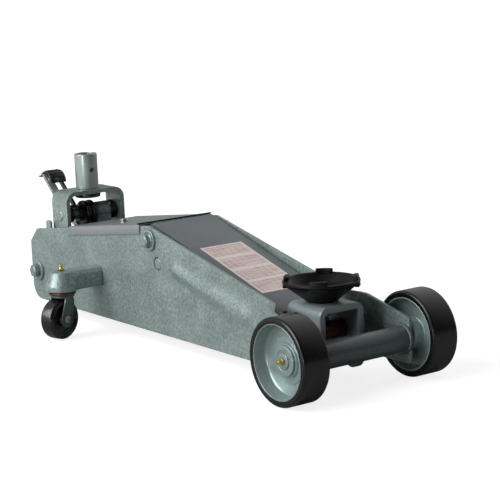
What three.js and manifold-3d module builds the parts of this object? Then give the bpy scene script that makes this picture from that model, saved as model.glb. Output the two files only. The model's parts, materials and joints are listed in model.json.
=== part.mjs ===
// Hydraulic trolley jack with a fork-shaped handle yoke, a foot pedal and swivelling rear casters.
// Millimetres. +X points to the saddle end, +Y to the jack's left, +Z up. Saddle lowered, handle upright.
// All pieces are drawn from the front wheel axle (x = 0) and the floor (z = 0);
// the whole group is shifted at the end so that its box is centred on x = 0.

import * as THREE from 'three';
import { mergeVertices } from 'three/addons/utils/BufferGeometryUtils.js';
import Module from 'manifold-3d';

const wasm = await Module();
wasm.setup();

// ---------------------------------------------------------------- driving dimensions

const touchGap = 0.3;      // between pieces that touch
const runGap = 0.3;        // radial gap of a shaft in its hole
const sideGap = 1;         // beside a piece that turns

const wheel = { radius: 55, width: 40, tyre: 8, wall: 2.5, dish: 18, innerDish: 15, gap: 4 };
const spindle = { radius: 10, collar: 15, end: 8, washer: 19, washerThick: 2.5 };

const plate = {
  length: 725.6, rearShare: 0.466, thickness: 4, frontX: 18.6, bottomZ: 21.3, rearHalf: 59, flare: 18,
  bendRearX: -90, bendFrontX: -62, apexZ: 170, frontTopZ: 79.8, rearTopZ: 127.8,
  chamferX: 22, chamferZ: 21, bottomRadius: 23, bottomCorner: 4, topCorner: 5, apexBlend: 6,
};
const rib = { fromApex: 63, fromBend: 22, startZ: 117, endZ: 73.4, startRadius: 9, endRadius: 15, height: 3 };
const axleTube = { radius: 16.8, wall: 3.5, x: 5.9, drop: 2.9 };
const cover = { thickness: 2, flange: 11, fromYoke: 44, fromApex: 19 };

const pivot = { fromApexX: 3.5, fromApexZ: 19.5 };      // lift arm pivot, ahead of the plates' apex and below it
const linkX = 17;          // offset of the radius rods' pins from the arm's pins
const linkZ = -31;
const nosePinX = -58;      // pin between the arm's nose and the saddle cradle
const nosePinZ = 64;
const arm = {
  thickness: 6, clearance: 6, topFrontX: -91, topFrontZ: 89.9, abovePlate: 2.6,
  rearEye: 21.8, noseEye: 20, boss: 16, underPin: 2.5, stepFrom: 3, stepTo: 14,
};
const pivotBolt = { radius: 10, head: 11, headThick: 7, washer: 15, washerThick: 3 };
const lever = { radius: 70, angle: -125, thickness: 8, inner: 15.4, eye: 14 };
const pin = { lever: 8, rod: 8, nose: 9, link: 6 };

const rod = { thickness: 6, halfWidth: 8, eye: 13, gap: 1.3 };
const cradle = { clearance: 1.2, thickness: 8, rearX: -90, frontX: -23, topZ: 102, corner: 12, eye: 18 };
const saddle = {
  x: -62, rimRadius: 49, baseRadius: 20, height: 27.2, wall: 5, floor: 9, stem: 12, stemDepth: 8,
  lugHeight: 5, lugDepth: 9, lugLength: 11, lugHalf: 11, lugTurn: 47,
};
const saddleBolt = { washer: 16, washerThick: 3, head: 10, headThick: 8 };

const unit = {
  length: 111, inset: 9, floorZ: 30, topZ: 88, headZ: 130, headLength: 12, deckLength: 34, deckThick: 6, sideGap: 7,
};
const cylinder = {
  radius: 30, bore: 15.4, axisZ: 87, fromPivot: 74.5, endWall: 10, collar: 33, collarLength: 10, collarInset: 4,
};
const ram = { radius: 15, tail: 12, headLength: 31, headHalf: 14.6, headMargin: 7, slotHalf: 9.4, slotPlay: 0.5 };
const rearBolt = { fromRearX: 20.4, z: 65.7, radius: 8, head: 8.5, headThick: 8, washer: 15, washerThick: 3 };

const yoke = {
  fromRearX: 80, axisZ: 154.6, clearance: 5, halfLength: 22, topZ: 191, bottomZ: 126, thickness: 6,
  corner: 16, shaft: 8,
};
const socket = {
  radius: 17, bore: 13, topZ: 244, floor: 4, spigot: 12, disc: 19, discThick: 6.3, discGap: 0.5,
  screwHole: 3.6, screwZ: 220,
};
const pumpLever = { hub: 18.5, roller: 8, reach: 28, low: -12, high: 4 };
const lug = { fromLever: 3, fromYoke: 13, eye: 14, footRear: 9, footFront: 27, neck: 12 };
const torsionSpring = { radius: 12.9, wire: 1.6, turns: 2.6, fromLug: 2.5, fromYoke: 3 };
const plunger = { radius: 6, cap: 9, capThick: 4, bottomZ: 80, boreBottomZ: 47 };
const plungerSpring = { radius: 8.2, wire: 1, turns: 6 };
const pedal = {
  angle: 42.5, barLow: -2, barHigh: 6, hub: 12, fromYoke: 5, nearThick: 5, farThick: 4, fromLever: 4,
  treadAlong: 70.2, treadOffset: -4.8, treadRadius: 18, treadWall: 2.5, treadFrom: 6, treadTo: 155, overhang: 1.5,
  tie: 3.5,
};
const releaseScrew = { x: 11, y: -28, radius: 5, collar: 9, collarThick: 5, height: 16, depth: 18, well: 20 };

const caster = {
  fromRearX: 194.2, reach: 58.5, radius: 29, halfWidth: 12, trail: 9, turn: 17,
  cup: 23.7, cupWall: 3, cupBottomZ: 68.5, cupTopZ: 97, armHalf: 17, armTopHalf: 12, armTopZ: 89, stem: 6,
  bearing: 19.5, bearingBottomZ: 63.4, bearingTopZ: 71.5, crownBottomZ: 60, crownRadius: 17,
  legThick: 3, legHalf: 13, eye: 9, axle: 5, axleHead: 7.5, axleHeadThick: 4,
};
const nipple = { radius: 3.2, length: 8, hex: 4.6 };

// ---------------------------------------------------------------- derived places

const radians = THREE.MathUtils.degToRad;
const rearX = plate.frontX - plate.length;
const apexX = rearX + plate.rearShare * plate.length;
const pivotX = apexX + pivot.fromApexX;
const pivotZ = plate.apexZ - pivot.fromApexZ;
const innerHalf = plate.rearHalf - plate.thickness;
const frontHalf = plate.rearHalf + plate.flare;
const frontInner = frontHalf - plate.thickness;
const wheelInner = frontHalf + wheel.gap;
const wheelOuter = wheelInner + wheel.width;
const hubFace = wheelOuter - wheel.dish;
const armHalf = innerHalf - arm.clearance;
const armInner = armHalf - arm.thickness;
const rodOuter = armInner - rod.gap;
const rodInner = rodOuter - rod.thickness;
const cradleHalf = rodInner - cradle.clearance;
const rodPinX = pivotX + linkX;
const rodPinZ = pivotZ + linkZ;
const linkPinX = nosePinX + linkX;
const linkPinZ = nosePinZ + linkZ;
const leverX = pivotX + lever.radius * Math.cos(radians(lever.angle));
const leverZ = pivotZ + lever.radius * Math.sin(radians(lever.angle));
const leverOuter = lever.inner + lever.thickness;
const yokeX = rearX + yoke.fromRearX;
const yokeHalf = innerHalf - yoke.clearance;
const yokeInner = yokeHalf - yoke.thickness;
const lugLow = pumpLever.high + lug.fromLever;
const lugHigh = yokeInner - lug.fromYoke;
const nearLow = pedal.fromYoke - yokeInner;
const nearHigh = nearLow + pedal.nearThick;
const farHigh = pumpLever.low - pedal.fromLever;
const farLow = farHigh - pedal.farThick;
const unitRearX = rearX + unit.inset;
const unitFrontX = unitRearX + unit.length;
const plungerX = yokeX - pumpLever.reach;
const plungerY = (pumpLever.low + pumpLever.high) / 2;
const cylinderFrontX = pivotX - cylinder.fromPivot;
const rearBoltX = rearX + rearBolt.fromRearX;
const casterX = rearX + caster.fromRearX;
const casterY = plate.rearHalf + caster.reach;
const boxCentreX = (rearX + wheel.radius) / 2;

// ---------------------------------------------------------------- finishes

const finish = {
  frame: { color: 0x84918d, roughness: 0.5, metalness: 0.35 },
  grey: { color: 0x9aa09f, roughness: 0.5, metalness: 0.3 },
  arm: { color: 0x5d6166, roughness: 0.5, metalness: 0.3 },
  black: { color: 0x101012, roughness: 0.45, metalness: 0.2 },
  rubber: { color: 0x0c0b0c, roughness: 0.35, metalness: 0 },
  steel: { color: 0xb9bcbd, roughness: 0.35, metalness: 0.9 },
  brass: { color: 0xb98a3a, roughness: 0.3, metalness: 0.9 },
  bronze: { color: 0x6a4a3c, roughness: 0.5, metalness: 0.5 },
};

// ---------------------------------------------------------------- geometry helpers

function toSolid(geometry) {
  const bare = geometry.clone();
  bare.deleteAttribute('normal');
  bare.deleteAttribute('uv');
  const merged = mergeVertices(bare, 1e-4);
  return new wasm.Manifold(new wasm.Mesh({
    numProp: 3,
    vertProperties: new Float32Array(merged.attributes.position.array),
    triVerts: new Uint32Array(merged.index.array),
  }));
}

function toGeometry(solid) {
  const mesh = solid.getMesh();
  const geometry = new THREE.BufferGeometry();
  geometry.setAttribute('position', new THREE.BufferAttribute(mesh.vertProperties, 3));
  geometry.setIndex(new THREE.BufferAttribute(mesh.triVerts, 1));
  geometry.computeVertexNormals();
  return geometry;
}

const join = (...pieces) => toGeometry(pieces.map(toSolid).reduce((whole, piece) => whole.add(piece)));
const cut = (base, ...tools) =>
  toGeometry(tools.map(toSolid).reduce((left, tool) => left.subtract(tool), toSolid(base)));
const common = (first, second) => toGeometry(toSolid(first).intersect(toSolid(second)));

const outline = (...points) => new THREE.Shape(points.map(([a, b]) => new THREE.Vector2(a, b)));

// A shape drawn in x and z, given a width along y.
function extrudeY(shape, low, high, curveSegments = 8) {
  const geometry = new THREE.ExtrudeGeometry(shape, { depth: high - low, bevelEnabled: false, curveSegments });
  return geometry.rotateX(Math.PI / 2).translate(0, high, 0);
}

// A shape drawn in y and z, given a length along x.
function extrudeX(shape, low, high, curveSegments = 6) {
  const geometry = new THREE.ExtrudeGeometry(shape, { depth: high - low, bevelEnabled: false, curveSegments });
  const turn = new THREE.Matrix4().makeBasis(
    new THREE.Vector3(0, 1, 0), new THREE.Vector3(0, 0, 1), new THREE.Vector3(1, 0, 0));
  return geometry.applyMatrix4(turn).translate(low, 0, 0);
}

// A shape drawn in x and y, given a height along z.
function extrudeZ(shape, low, high, curveSegments = 8) {
  const geometry = new THREE.ExtrudeGeometry(shape, { depth: high - low, bevelEnabled: false, curveSegments });
  return geometry.translate(0, 0, low);
}

function bar(radius, low, high, segments) {
  return new THREE.CylinderGeometry(radius, radius, high - low, segments).translate(0, (low + high) / 2, 0);
}

const rodX = (radius, low, high, y, z, segments = 16) =>
  bar(radius, low, high, segments).rotateZ(-Math.PI / 2).translate(0, y, z);
const rodY = (radius, low, high, x, z, segments = 16) => bar(radius, low, high, segments).translate(x, 0, z);
const rodZ = (radius, low, high, x, y, segments = 16) =>
  bar(radius, low, high, segments).rotateX(Math.PI / 2).translate(x, y, 0);

// A body turned about the y axis; the profile's points are [radius, y], going up on its outer side.
function turned(profile, segments = 24) {
  return new THREE.LatheGeometry(profile.map(([r, y]) => new THREE.Vector2(r, y)), segments);
}

const block = (x0, x1, y0, y1, z0, z1) =>
  new THREE.BoxGeometry(x1 - x0, y1 - y0, z1 - z0).translate((x0 + x1) / 2, (y0 + y1) / 2, (z0 + z1) / 2);

// Two eyes joined by straight sides that touch both circles.
function linkShape(x0, z0, r0, x1, z1, r1) {
  const length = Math.hypot(x1 - x0, z1 - z0);
  const along = Math.atan2(z1 - z0, x1 - x0);
  const lean = Math.acos((r0 - r1) / length);
  const shape = new THREE.Shape();
  shape.absarc(x0, z0, r0, along + lean, along - lean + 2 * Math.PI, false);
  shape.absarc(x1, z1, r1, along - lean, along + lean, false);
  return shape;
}

function hole(x, z, radius) {
  const path = new THREE.Path();
  path.absarc(x, z, radius, 0, 2 * Math.PI, true);
  return path;
}

class Helix extends THREE.Curve {
  constructor(radius, low, high, turns) {
    super();
    Object.assign(this, { radius, low, high, turns });
  }

  getPoint(t, target = new THREE.Vector3()) {
    const angle = 2 * Math.PI * this.turns * t;
    const y = this.low + (this.high - this.low) * t;
    return target.set(this.radius * Math.cos(angle), y, this.radius * Math.sin(angle));
  }
}

// A coil of round wire about the y axis, between two wire centres.
function coil({ radius, wire, turns }, low, high) {
  const section = new THREE.Shape();
  section.absarc(0, 0, wire, 0, 2 * Math.PI, false);
  return new THREE.ExtrudeGeometry(section, {
    extrudePath: new Helix(radius, low, high, turns), steps: Math.round(turns * 10), curveSegments: 3,
  });
}

const hexBar = (flat, low, high, x, z) => bar(flat / Math.cos(Math.PI / 6), low, high, 6).translate(x, 0, z);

// ---------------------------------------------------------------- scene assembly

const jack = new THREE.Group();
const sides = [['right', -1], ['left', 1]];

function add(name, geometry, look, position = [0, 0, 0], turnZ = 0) {
  const mesh = new THREE.Mesh(geometry, new THREE.MeshStandardMaterial(look));
  mesh.name = name;
  mesh.position.set(...position);
  mesh.rotation.z = turnZ;
  jack.add(mesh);
}

// Draws a piece for the left side, or turned over to the right side by swapping its y limits.
const between = (side, inner, outer) => (side > 0 ? [inner, outer] : [-outer, -inner]);

// ---------------------------------------------------------------- frame

const frontFall = (plate.apexZ - plate.frontTopZ) / (plate.frontX - apexX);
const rearFall = (plate.apexZ - plate.rearTopZ) / (apexX - rearX);
const plateTop = (x) => plate.apexZ - (x > apexX ? frontFall * (x - apexX) : rearFall * (apexX - x));

function sidePlateOutline() {
  const { frontX, bottomZ, bottomRadius, bottomCorner, topCorner, apexBlend, chamferX, chamferZ, apexZ } = plate;
  const rearTopZ = plateTop(rearX + chamferX);
  const frontTopZ = plateTop(frontX);
  const shape = new THREE.Shape();
  shape.absarc(rearX + bottomRadius, bottomZ + bottomRadius, bottomRadius, Math.PI, 1.5 * Math.PI, false);
  shape.lineTo(frontX - bottomCorner, bottomZ);
  shape.lineTo(frontX, bottomZ + bottomCorner);
  shape.lineTo(frontX, frontTopZ - topCorner);
  shape.lineTo(frontX - topCorner, frontTopZ + topCorner * frontFall);
  shape.lineTo(apexX + apexBlend, apexZ - apexBlend * frontFall);
  shape.lineTo(apexX - apexBlend, apexZ - apexBlend * rearFall);
  shape.lineTo(rearX + chamferX + 4, plateTop(rearX + chamferX + 4));
  shape.lineTo(rearX + chamferX - 3, rearTopZ - 3.5);
  shape.lineTo(rearX + 1.5, rearTopZ - chamferZ + 4);
  shape.lineTo(rearX, rearTopZ - chamferZ - 2);
  shape.holes.push(hole(0, wheel.radius, spindle.radius + touchGap));
  shape.holes.push(hole(pivotX, pivotZ, pivotBolt.radius + runGap));
  shape.holes.push(hole(rodPinX, rodPinZ, pin.rod + touchGap));
  shape.holes.push(hole(rearBoltX, rearBolt.z, rearBolt.radius + touchGap));
  return shape;
}

// The plate seen from above: straight at the rear, joggled outwards to the front.
function sidePlateStrip(side) {
  const { frontX, bendRearX, bendFrontX, thickness, rearHalf } = plate;
  const outer = [[rearX - 1, rearHalf], [bendRearX, rearHalf], [bendFrontX, frontHalf], [frontX + 1, frontHalf]];
  const inner = outer.map(([x, y]) => [x, y - thickness]).reverse();
  const points = [...outer, ...inner].map(([x, y]) => [x, side * y]);
  return outline(...(side > 0 ? points.reverse() : points));
}

function stiffeningRib(side) {
  const startX = apexX + rib.fromApex;
  const endX = plate.bendRearX - rib.fromBend;
  const shape = linkShape(startX, rib.startZ, rib.startRadius, endX, rib.endZ, rib.endRadius);
  const bevel = rib.height - 0.5;
  const geometry = new THREE.ExtrudeGeometry(shape, {
    depth: 1, bevelThickness: bevel, bevelSize: bevel + 1, bevelSegments: 1, curveSegments: 5,
  });
  const middle = plate.rearHalf + 0.5 - plate.thickness / 8;
  return geometry.rotateX(Math.PI / 2).translate(0, side * middle + 0.5, 0);
}

function sidePlate(side) {
  const flat = extrudeY(sidePlateOutline(), ...between(side, innerHalf - 1, frontHalf + 1));
  const strip = extrudeZ(sidePlateStrip(side), plate.bottomZ - 1, plate.apexZ + 1);
  return join(common(flat, strip), stiffeningRib(side));
}

function buildFrame() {
  for (const [name, side] of sides) add(`side_plate_${name}`, sidePlate(side), finish.frame);

  const tubeHalf = frontInner - touchGap;
  const tubeInner = axleTube.radius - axleTube.wall;
  const tube = turned([
    [tubeInner, -tubeHalf], [axleTube.radius, -tubeHalf], [axleTube.radius, tubeHalf], [tubeInner, tubeHalf],
    [tubeInner, -tubeHalf]]);
  add('front_axle_tube', tube, finish.frame, [axleTube.x, 0, wheel.radius - axleTube.drop]);

  add('rear_cover', rearCover(), finish.grey);
}

// A flanged lid over the plates' sloping rear top edges.
function rearCover() {
  const { thickness, flange } = cover;
  const backX = yokeX + cover.fromYoke;
  const frontX = apexX - cover.fromApex;
  const half = plate.rearHalf + touchGap + thickness;
  const strip = (x0, x1, over, under) => outline(
    [x0, plateTop(x0) - under], [x1, plateTop(x1) - under], [x1, plateTop(x1) + over], [x0, plateTop(x0) + over]);
  const outer = extrudeY(strip(backX, frontX, touchGap + thickness, flange), -half, half);
  const room = extrudeY(strip(backX - 1, frontX + 1, touchGap, flange + 1), thickness - half, half - thickness);
  return cut(outer, room);
}

// ---------------------------------------------------------------- front wheels

function wheelHub() {
  const rim = wheel.radius - wheel.tyre;
  const floorRadius = rim - wheel.wall;
  const innerFloor = wheelInner + wheel.innerDish;
  const bore = spindle.radius + runGap;
  const boss = spindle.washer + 1;
  return turned([
    [bore, wheelInner + 0.5], [boss - 2, wheelInner + 0.5], [boss, wheelInner + 3], [boss, innerFloor],
    [floorRadius - 1, innerFloor], [rim - 1.5, wheelInner + 0.5], [rim, wheelInner + 0.5],
    [rim, wheelOuter - 0.5], [rim - 1.5, wheelOuter - 0.5], [floorRadius - 1, hubFace],
    [boss, hubFace], [boss - 1.5, hubFace + 4], [bore, hubFace + 4], [bore, wheelInner + 0.5]], 28);
}

function wheelTyre() {
  const inner = wheel.radius - wheel.tyre + touchGap;
  const { radius } = wheel;
  return turned([
    [inner, wheelInner], [radius - 3, wheelInner], [radius - 0.8, wheelInner + 1], [radius, wheelInner + 3.5],
    [radius, wheelOuter - 3.5], [radius - 0.8, wheelOuter - 1], [radius - 3, wheelOuter], [inner, wheelOuter],
    [inner, wheelInner]], 36);
}

// The fixed stub that a front wheel turns on: flush with the plate's inner face, with a thrust collar.
function wheelSpindle() {
  const end = hubFace + spindle.end;
  return turned([
    [0, frontInner], [spindle.radius, frontInner], [spindle.radius, frontHalf + touchGap],
    [spindle.collar, frontHalf + touchGap], [spindle.collar, wheelInner - 0.5],
    [spindle.radius, wheelInner - 0.5], [spindle.radius, end - 1], [spindle.radius - 1, end], [0, end]], 24);
}

function retainingWasher() {
  const low = hubFace + 4.4;
  const bore = spindle.radius + touchGap;
  const high = low + spindle.washerThick;
  return turned([[bore, low], [spindle.washer, low], [spindle.washer, high - 0.8],
    [spindle.washer - 0.8, high], [bore, high], [bore, low]], 28);
}

// A grease nipple standing along +Y from y = 0.
function greaseNipple() {
  const { radius, length, hex } = nipple;
  const body = turned([[0, 2], [radius, 2], [radius * 0.6, length * 0.6], [radius * 0.75, length * 0.8],
    [radius * 0.4, length], [0, length]], 12);
  return join(body, hexBar(hex, 0, 2.5, 0, 0));
}

function buildFrontWheels() {
  for (const [name, side] of sides) {
    const half = side > 0 ? 0 : Math.PI;
    const centre = [0, 0, wheel.radius];
    const nippleY = side * (hubFace + spindle.end + touchGap);
    add(`wheel_spindle_${name}`, wheelSpindle(), finish.steel, centre, half);
    add(`front_wheel_hub_${name}`, wheelHub(), finish.frame, centre, half);
    add(`front_wheel_tyre_${name}`, wheelTyre(), finish.rubber, centre, half);
    add(`hub_washer_${name}`, retainingWasher(), finish.frame, centre, half);
    add(`hub_nipple_${name}`, greaseNipple(), finish.brass, [0, nippleY, wheel.radius], half);
  }
}

// ---------------------------------------------------------------- lift arm and its linkage

const armTopRearZ = plate.apexZ + arm.abovePlate;
const armFall = (armTopRearZ - arm.topFrontZ) / (arm.topFrontX - apexX);
const armTop = (x) => armTopRearZ - armFall * (x - apexX);

function armSideOutline() {
  const stepX = rodPinX + arm.stepTo;
  const shape = new THREE.Shape();
  shape.moveTo(arm.topFrontX, armTop(arm.topFrontX));
  shape.lineTo(apexX, armTopRearZ);
  shape.absarc(pivotX, pivotZ, arm.rearEye, radians(100), radians(270), false);
  shape.lineTo(rodPinX + arm.stepFrom, rodPinZ + pin.rod + arm.underPin);
  shape.lineTo(stepX, rodPinZ + 0.5);
  shape.absarc(nosePinX, nosePinZ, arm.noseEye, radians(-106), radians(80), false);
  shape.holes.push(hole(pivotX, pivotZ, pivotBolt.radius + runGap));
  shape.holes.push(hole(nosePinX, nosePinZ, pin.nose + touchGap));
  return shape;
}

function liftArm() {
  const { topFrontX, thickness } = arm;
  const fall = thickness * 1.04;
  const topPlate = extrudeY(outline(
    [apexX, armTopRearZ - fall], [topFrontX, armTop(topFrontX) - fall],
    [topFrontX, armTop(topFrontX)], [apexX, armTopRearZ]), -armHalf, armHalf);
  const cheeks = [-1, 1].map((side) => extrudeY(armSideOutline(), ...between(side, armInner, armHalf)));
  const levers = [-1, 1].map((side) => {
    const shape = linkShape(pivotX, pivotZ, arm.boss + 3, leverX, leverZ, lever.eye);
    shape.holes.push(hole(leverX, leverZ, pin.lever + touchGap));
    return extrudeY(shape, ...between(side, lever.inner, leverOuter));
  });
  const boss = rodY(arm.boss, -armInner - 1, armInner + 1, pivotX, pivotZ, 20);
  const bore = rodY(pivotBolt.radius + runGap, -armHalf - 1, armHalf + 1, pivotX, pivotZ);
  return cut(join(topPlate, boss, ...cheeks, ...levers), bore);
}

function radiusRod(side) {
  const shape = linkShape(rodPinX, rodPinZ, rod.eye, linkPinX, linkPinZ, rod.eye);
  const slender = linkShape(rodPinX, rodPinZ, rod.halfWidth, linkPinX, linkPinZ, rod.halfWidth);
  const [low, high] = between(side, rodInner, rodOuter);
  const eyes = [rodY(rod.eye, low, high, rodPinX, rodPinZ, 24), rodY(rod.eye, low, high, linkPinX, linkPinZ, 24)];
  const bores = [
    rodY(pin.rod + runGap, low - 1, high + 1, rodPinX, rodPinZ),
    rodY(pin.link + runGap, low - 1, high + 1, linkPinX, linkPinZ)];
  return cut(common(join(extrudeY(slender, low, high, 5), ...eyes), extrudeY(shape, low, high, 8)), ...bores);
}

// An inverted channel whose cheeks narrow down to the link pin's eyes.
function saddleCradle() {
  const { thickness, frontX, topZ, corner, eye } = cradle;
  const backX = cradle.rearX;
  const bottomZ = linkPinZ - eye - 1;
  const bend = (half, top, radius) => {
    const shape = new THREE.Shape();
    shape.moveTo(-half, bottomZ);
    shape.lineTo(half, bottomZ);
    shape.absarc(half - radius, top - radius, radius, 0, Math.PI / 2, false);
    shape.absarc(radius - half, top - radius, radius, Math.PI / 2, Math.PI, false);
    return shape;
  };
  const channel = cut(
    extrudeX(bend(cradleHalf, topZ, corner), backX, frontX),
    extrudeX(bend(cradleHalf - thickness, topZ - thickness, corner - thickness), backX - 1, frontX + 1));
  const side = new THREE.Shape();
  side.moveTo(frontX, topZ + 1);
  side.lineTo(backX, topZ + 1);
  side.lineTo(backX, topZ - thickness - 8);
  side.lineTo(nosePinX - 15, nosePinZ - 10);
  side.absarc(linkPinX, linkPinZ, eye, radians(165), radians(395), false);
  side.lineTo(frontX, nosePinZ);
  side.holes.push(hole(linkPinX, linkPinZ, pin.link + touchGap));
  side.holes.push(hole(nosePinX, nosePinZ, pin.nose + runGap));
  const trimmed = common(channel, extrudeY(side, -cradleHalf - 1, cradleHalf + 1));
  return cut(trimmed, rodZ(saddle.stem + runGap, topZ - 20, topZ + 2, saddle.x, 0, 24));
}

function buildArm() {
  add('lift_arm', liftArm(), finish.arm);
  add('cradle_pin', rodY(pin.nose, -armHalf - 1, armHalf + 1, nosePinX, nosePinZ), finish.steel);
  const sleeveHalf = cradleHalf - cradle.thickness - touchGap;
  const sleeve = cut(
    rodY(pin.nose + 3.5, -sleeveHalf, sleeveHalf, nosePinX, nosePinZ, 24),
    rodY(pin.nose + runGap, -sleeveHalf - 1, sleeveHalf + 1, nosePinX, nosePinZ));
  add('cradle_pin_sleeve', sleeve, finish.bronze);
  add('lever_pin', rodY(pin.lever, -leverOuter - 2, leverOuter + 2, leverX, leverZ), finish.steel);

  const outerFace = plate.rearHalf + touchGap;
  const washerFace = outerFace + pivotBolt.washerThick;
  const headFace = washerFace + touchGap;
  const pivotShaft = join(
    rodY(pivotBolt.radius, -headFace - 0.5, headFace, pivotX, pivotZ, 24),
    hexBar(pivotBolt.head, -headFace - pivotBolt.headThick, -headFace, pivotX, pivotZ));
  add('arm_pivot_bolt', pivotShaft, finish.steel);
  add('arm_pivot_nut', hexBar(pivotBolt.head, headFace + touchGap, headFace + pivotBolt.headThick, pivotX, pivotZ),
    finish.steel);
  for (const [name, side] of sides) {
    const [low, high] = between(side, outerFace, washerFace);
    add(`arm_pivot_washer_${name}`, cut(
      rodY(pivotBolt.washer, low, high, pivotX, pivotZ, 28),
      rodY(pivotBolt.radius + touchGap, low - 1, high + 1, pivotX, pivotZ, 24)), finish.steel);
    add(`radius_rod_${name}`, radiusRod(side), finish.black);
    const pinEnds = between(side, rodInner - touchGap, plate.rearHalf);
    add(`radius_rod_pin_${name}`, rodY(pin.rod, ...pinEnds, rodPinX, rodPinZ), finish.frame);
  }
  add('cradle_link_pin', rodY(pin.link, -rodOuter - 0.8, rodOuter + 0.8, linkPinX, linkPinZ), finish.steel);
  add('saddle_cradle', saddleCradle(), finish.grey);
}

// ---------------------------------------------------------------- saddle

function saddleDish() {
  const { rimRadius, baseRadius, height, wall, floor, stem, stemDepth, x } = saddle;
  const { lugHeight, lugDepth, lugLength, lugHalf, lugTurn } = saddle;
  const baseZ = cradle.topZ + touchGap;
  const rimZ = baseZ + height;
  const dish = turned([
    [0, baseZ - stemDepth], [stem, baseZ - stemDepth], [stem, baseZ], [baseRadius, baseZ], [baseRadius + 3, baseZ + 3],
    [baseRadius + 16, baseZ + 13], [rimRadius, rimZ - 4], [rimRadius, rimZ], [rimRadius - wall, rimZ],
    [baseRadius + 13, baseZ + 15], [baseRadius + 3, baseZ + floor], [0, baseZ + floor]], 32).rotateX(Math.PI / 2);
  dish.translate(x, 0, 0);
  const lugs = [0, 1, 2, 3].map((index) => {
    const shape = outline([rimRadius - lugLength, rimZ - lugDepth], [rimRadius, rimZ - lugDepth], [rimRadius, rimZ + lugHeight - 1],
      [rimRadius - 1, rimZ + lugHeight], [rimRadius - 6, rimZ + lugHeight]);
    return extrudeY(shape, -lugHalf, lugHalf).rotateZ(radians(lugTurn + 90 * index)).translate(x, 0, 0);
  });
  return join(dish, ...lugs);
}

function saddleRetainer() {
  const { washer, washerThick, head, headThick } = saddleBolt;
  const top = cradle.topZ - cradle.thickness - touchGap;
  return join(
    rodZ(washer, top - washerThick, top, saddle.x, 0, 24),
    rodZ(head, top - washerThick - headThick, top - washerThick + 1, saddle.x, 0, 6));
}

// ---------------------------------------------------------------- hydraulic unit

function powerUnit() {
  const half = innerHalf - unit.sideGap;
  const { floorZ, topZ, headZ, headLength, deckLength, deckThick } = unit;
  const body = block(unitRearX, unitFrontX, -half, half, floorZ, topZ);
  const head = block(unitFrontX - headLength, unitFrontX, -half, half, floorZ, headZ);
  const deck = block(unitFrontX - headLength, unitFrontX + deckLength, -half, half, headZ - deckThick, headZ);
  const lugBase = outline(
    [yokeX - lug.footRear, topZ - 1], [yokeX + lug.footFront, topZ - 1],
    [yokeX + lug.neck, yoke.axisZ], [yokeX - lug.neck, yoke.axisZ]);
  const post = extrudeY(lugBase, lugLow, lugHigh);
  const eye = rodY(lug.eye, lugLow, lugHigh, yokeX, yoke.axisZ, 24);
  return cut(
    join(body, head, deck, post, eye),
    rodY(yoke.shaft + runGap, lugLow - 1, lugHigh + 1, yokeX, yoke.axisZ),
    rodY(rearBolt.radius + touchGap, -half - 1, half + 1, rearBoltX, rearBolt.z),
    rodZ(plunger.radius + runGap, plunger.boreBottomZ, topZ + 1, plungerX, plungerY, 16),
    rodZ(releaseScrew.radius + runGap, topZ - releaseScrew.well, topZ + 1, yokeX + releaseScrew.x, releaseScrew.y, 16));
}

function buildHydraulics() {
  add('power_unit', powerUnit(), finish.frame);
  const { radius, bore, axisZ, endWall, collar, collarLength, collarInset } = cylinder;
  const frontX = cylinderFrontX;
  const rear = unitFrontX + touchGap;
  const collarFrontX = frontX - collarInset;
  const tube = join(
    rodX(radius, rear, frontX, 0, axisZ, 32),
    rodX(collar, collarFrontX - collarLength, collarFrontX, 0, axisZ, 8));
  add('ram_cylinder', cut(tube, rodX(bore, rear + endWall, frontX + 1, 0, axisZ, 24)), finish.black);
  add('ram_piston', ramPiston(), finish.steel);

  const faces = plate.rearHalf + touchGap;
  const washerFace = faces + rearBolt.washerThick;
  const headFace = washerFace + touchGap;
  const shaft = rodY(rearBolt.radius, -headFace - 0.5, headFace, rearBoltX, rearBolt.z);
  const head = rodY(rearBolt.head, -headFace - rearBolt.headThick, -headFace, rearBoltX, rearBolt.z, 20);
  add('rear_cross_bolt', join(shaft, head), finish.steel);
  add('rear_cross_nut', hexBar(rearBolt.head, headFace + touchGap, headFace + rearBolt.headThick, rearBoltX,
    rearBolt.z), finish.steel);
  for (const [name, side] of sides) {
    const [low, high] = between(side, faces, washerFace);
    add(`rear_cross_washer_${name}`, cut(
      rodY(rearBolt.washer, low, high, rearBoltX, rearBolt.z, 28),
      rodY(rearBolt.radius + touchGap, low - 1, high + 1, rearBoltX, rearBolt.z)), finish.steel);
  }
}

// A rod with a slotted head; the arm's lever pin rides in the slot.
function ramPiston() {
  const { radius, tail, headLength, headHalf, headMargin, slotHalf, slotPlay } = ram;
  const headRear = leverX - headLength / 2;
  const lowest = pivotZ - lever.radius - pin.lever;
  const highest = leverZ + pin.lever;
  const shaft = rodX(radius, unitFrontX + tail, headRear + 1, 0, cylinder.axisZ, 24);
  const head = block(headRear, headRear + headLength, -headHalf, headHalf,
    lowest - headMargin, highest + headMargin);
  const slot = new THREE.Shape();
  slot.absarc(leverX, highest - pin.lever + slotPlay, slotHalf, 0, Math.PI, false);
  slot.absarc(leverX, lowest + pin.lever - slotPlay, slotHalf, Math.PI, 2 * Math.PI, false);
  return cut(join(shaft, head), extrudeY(slot, -headHalf - 1, headHalf + 1, 6));
}

// ---------------------------------------------------------------- handle yoke, pump and pedal

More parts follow.
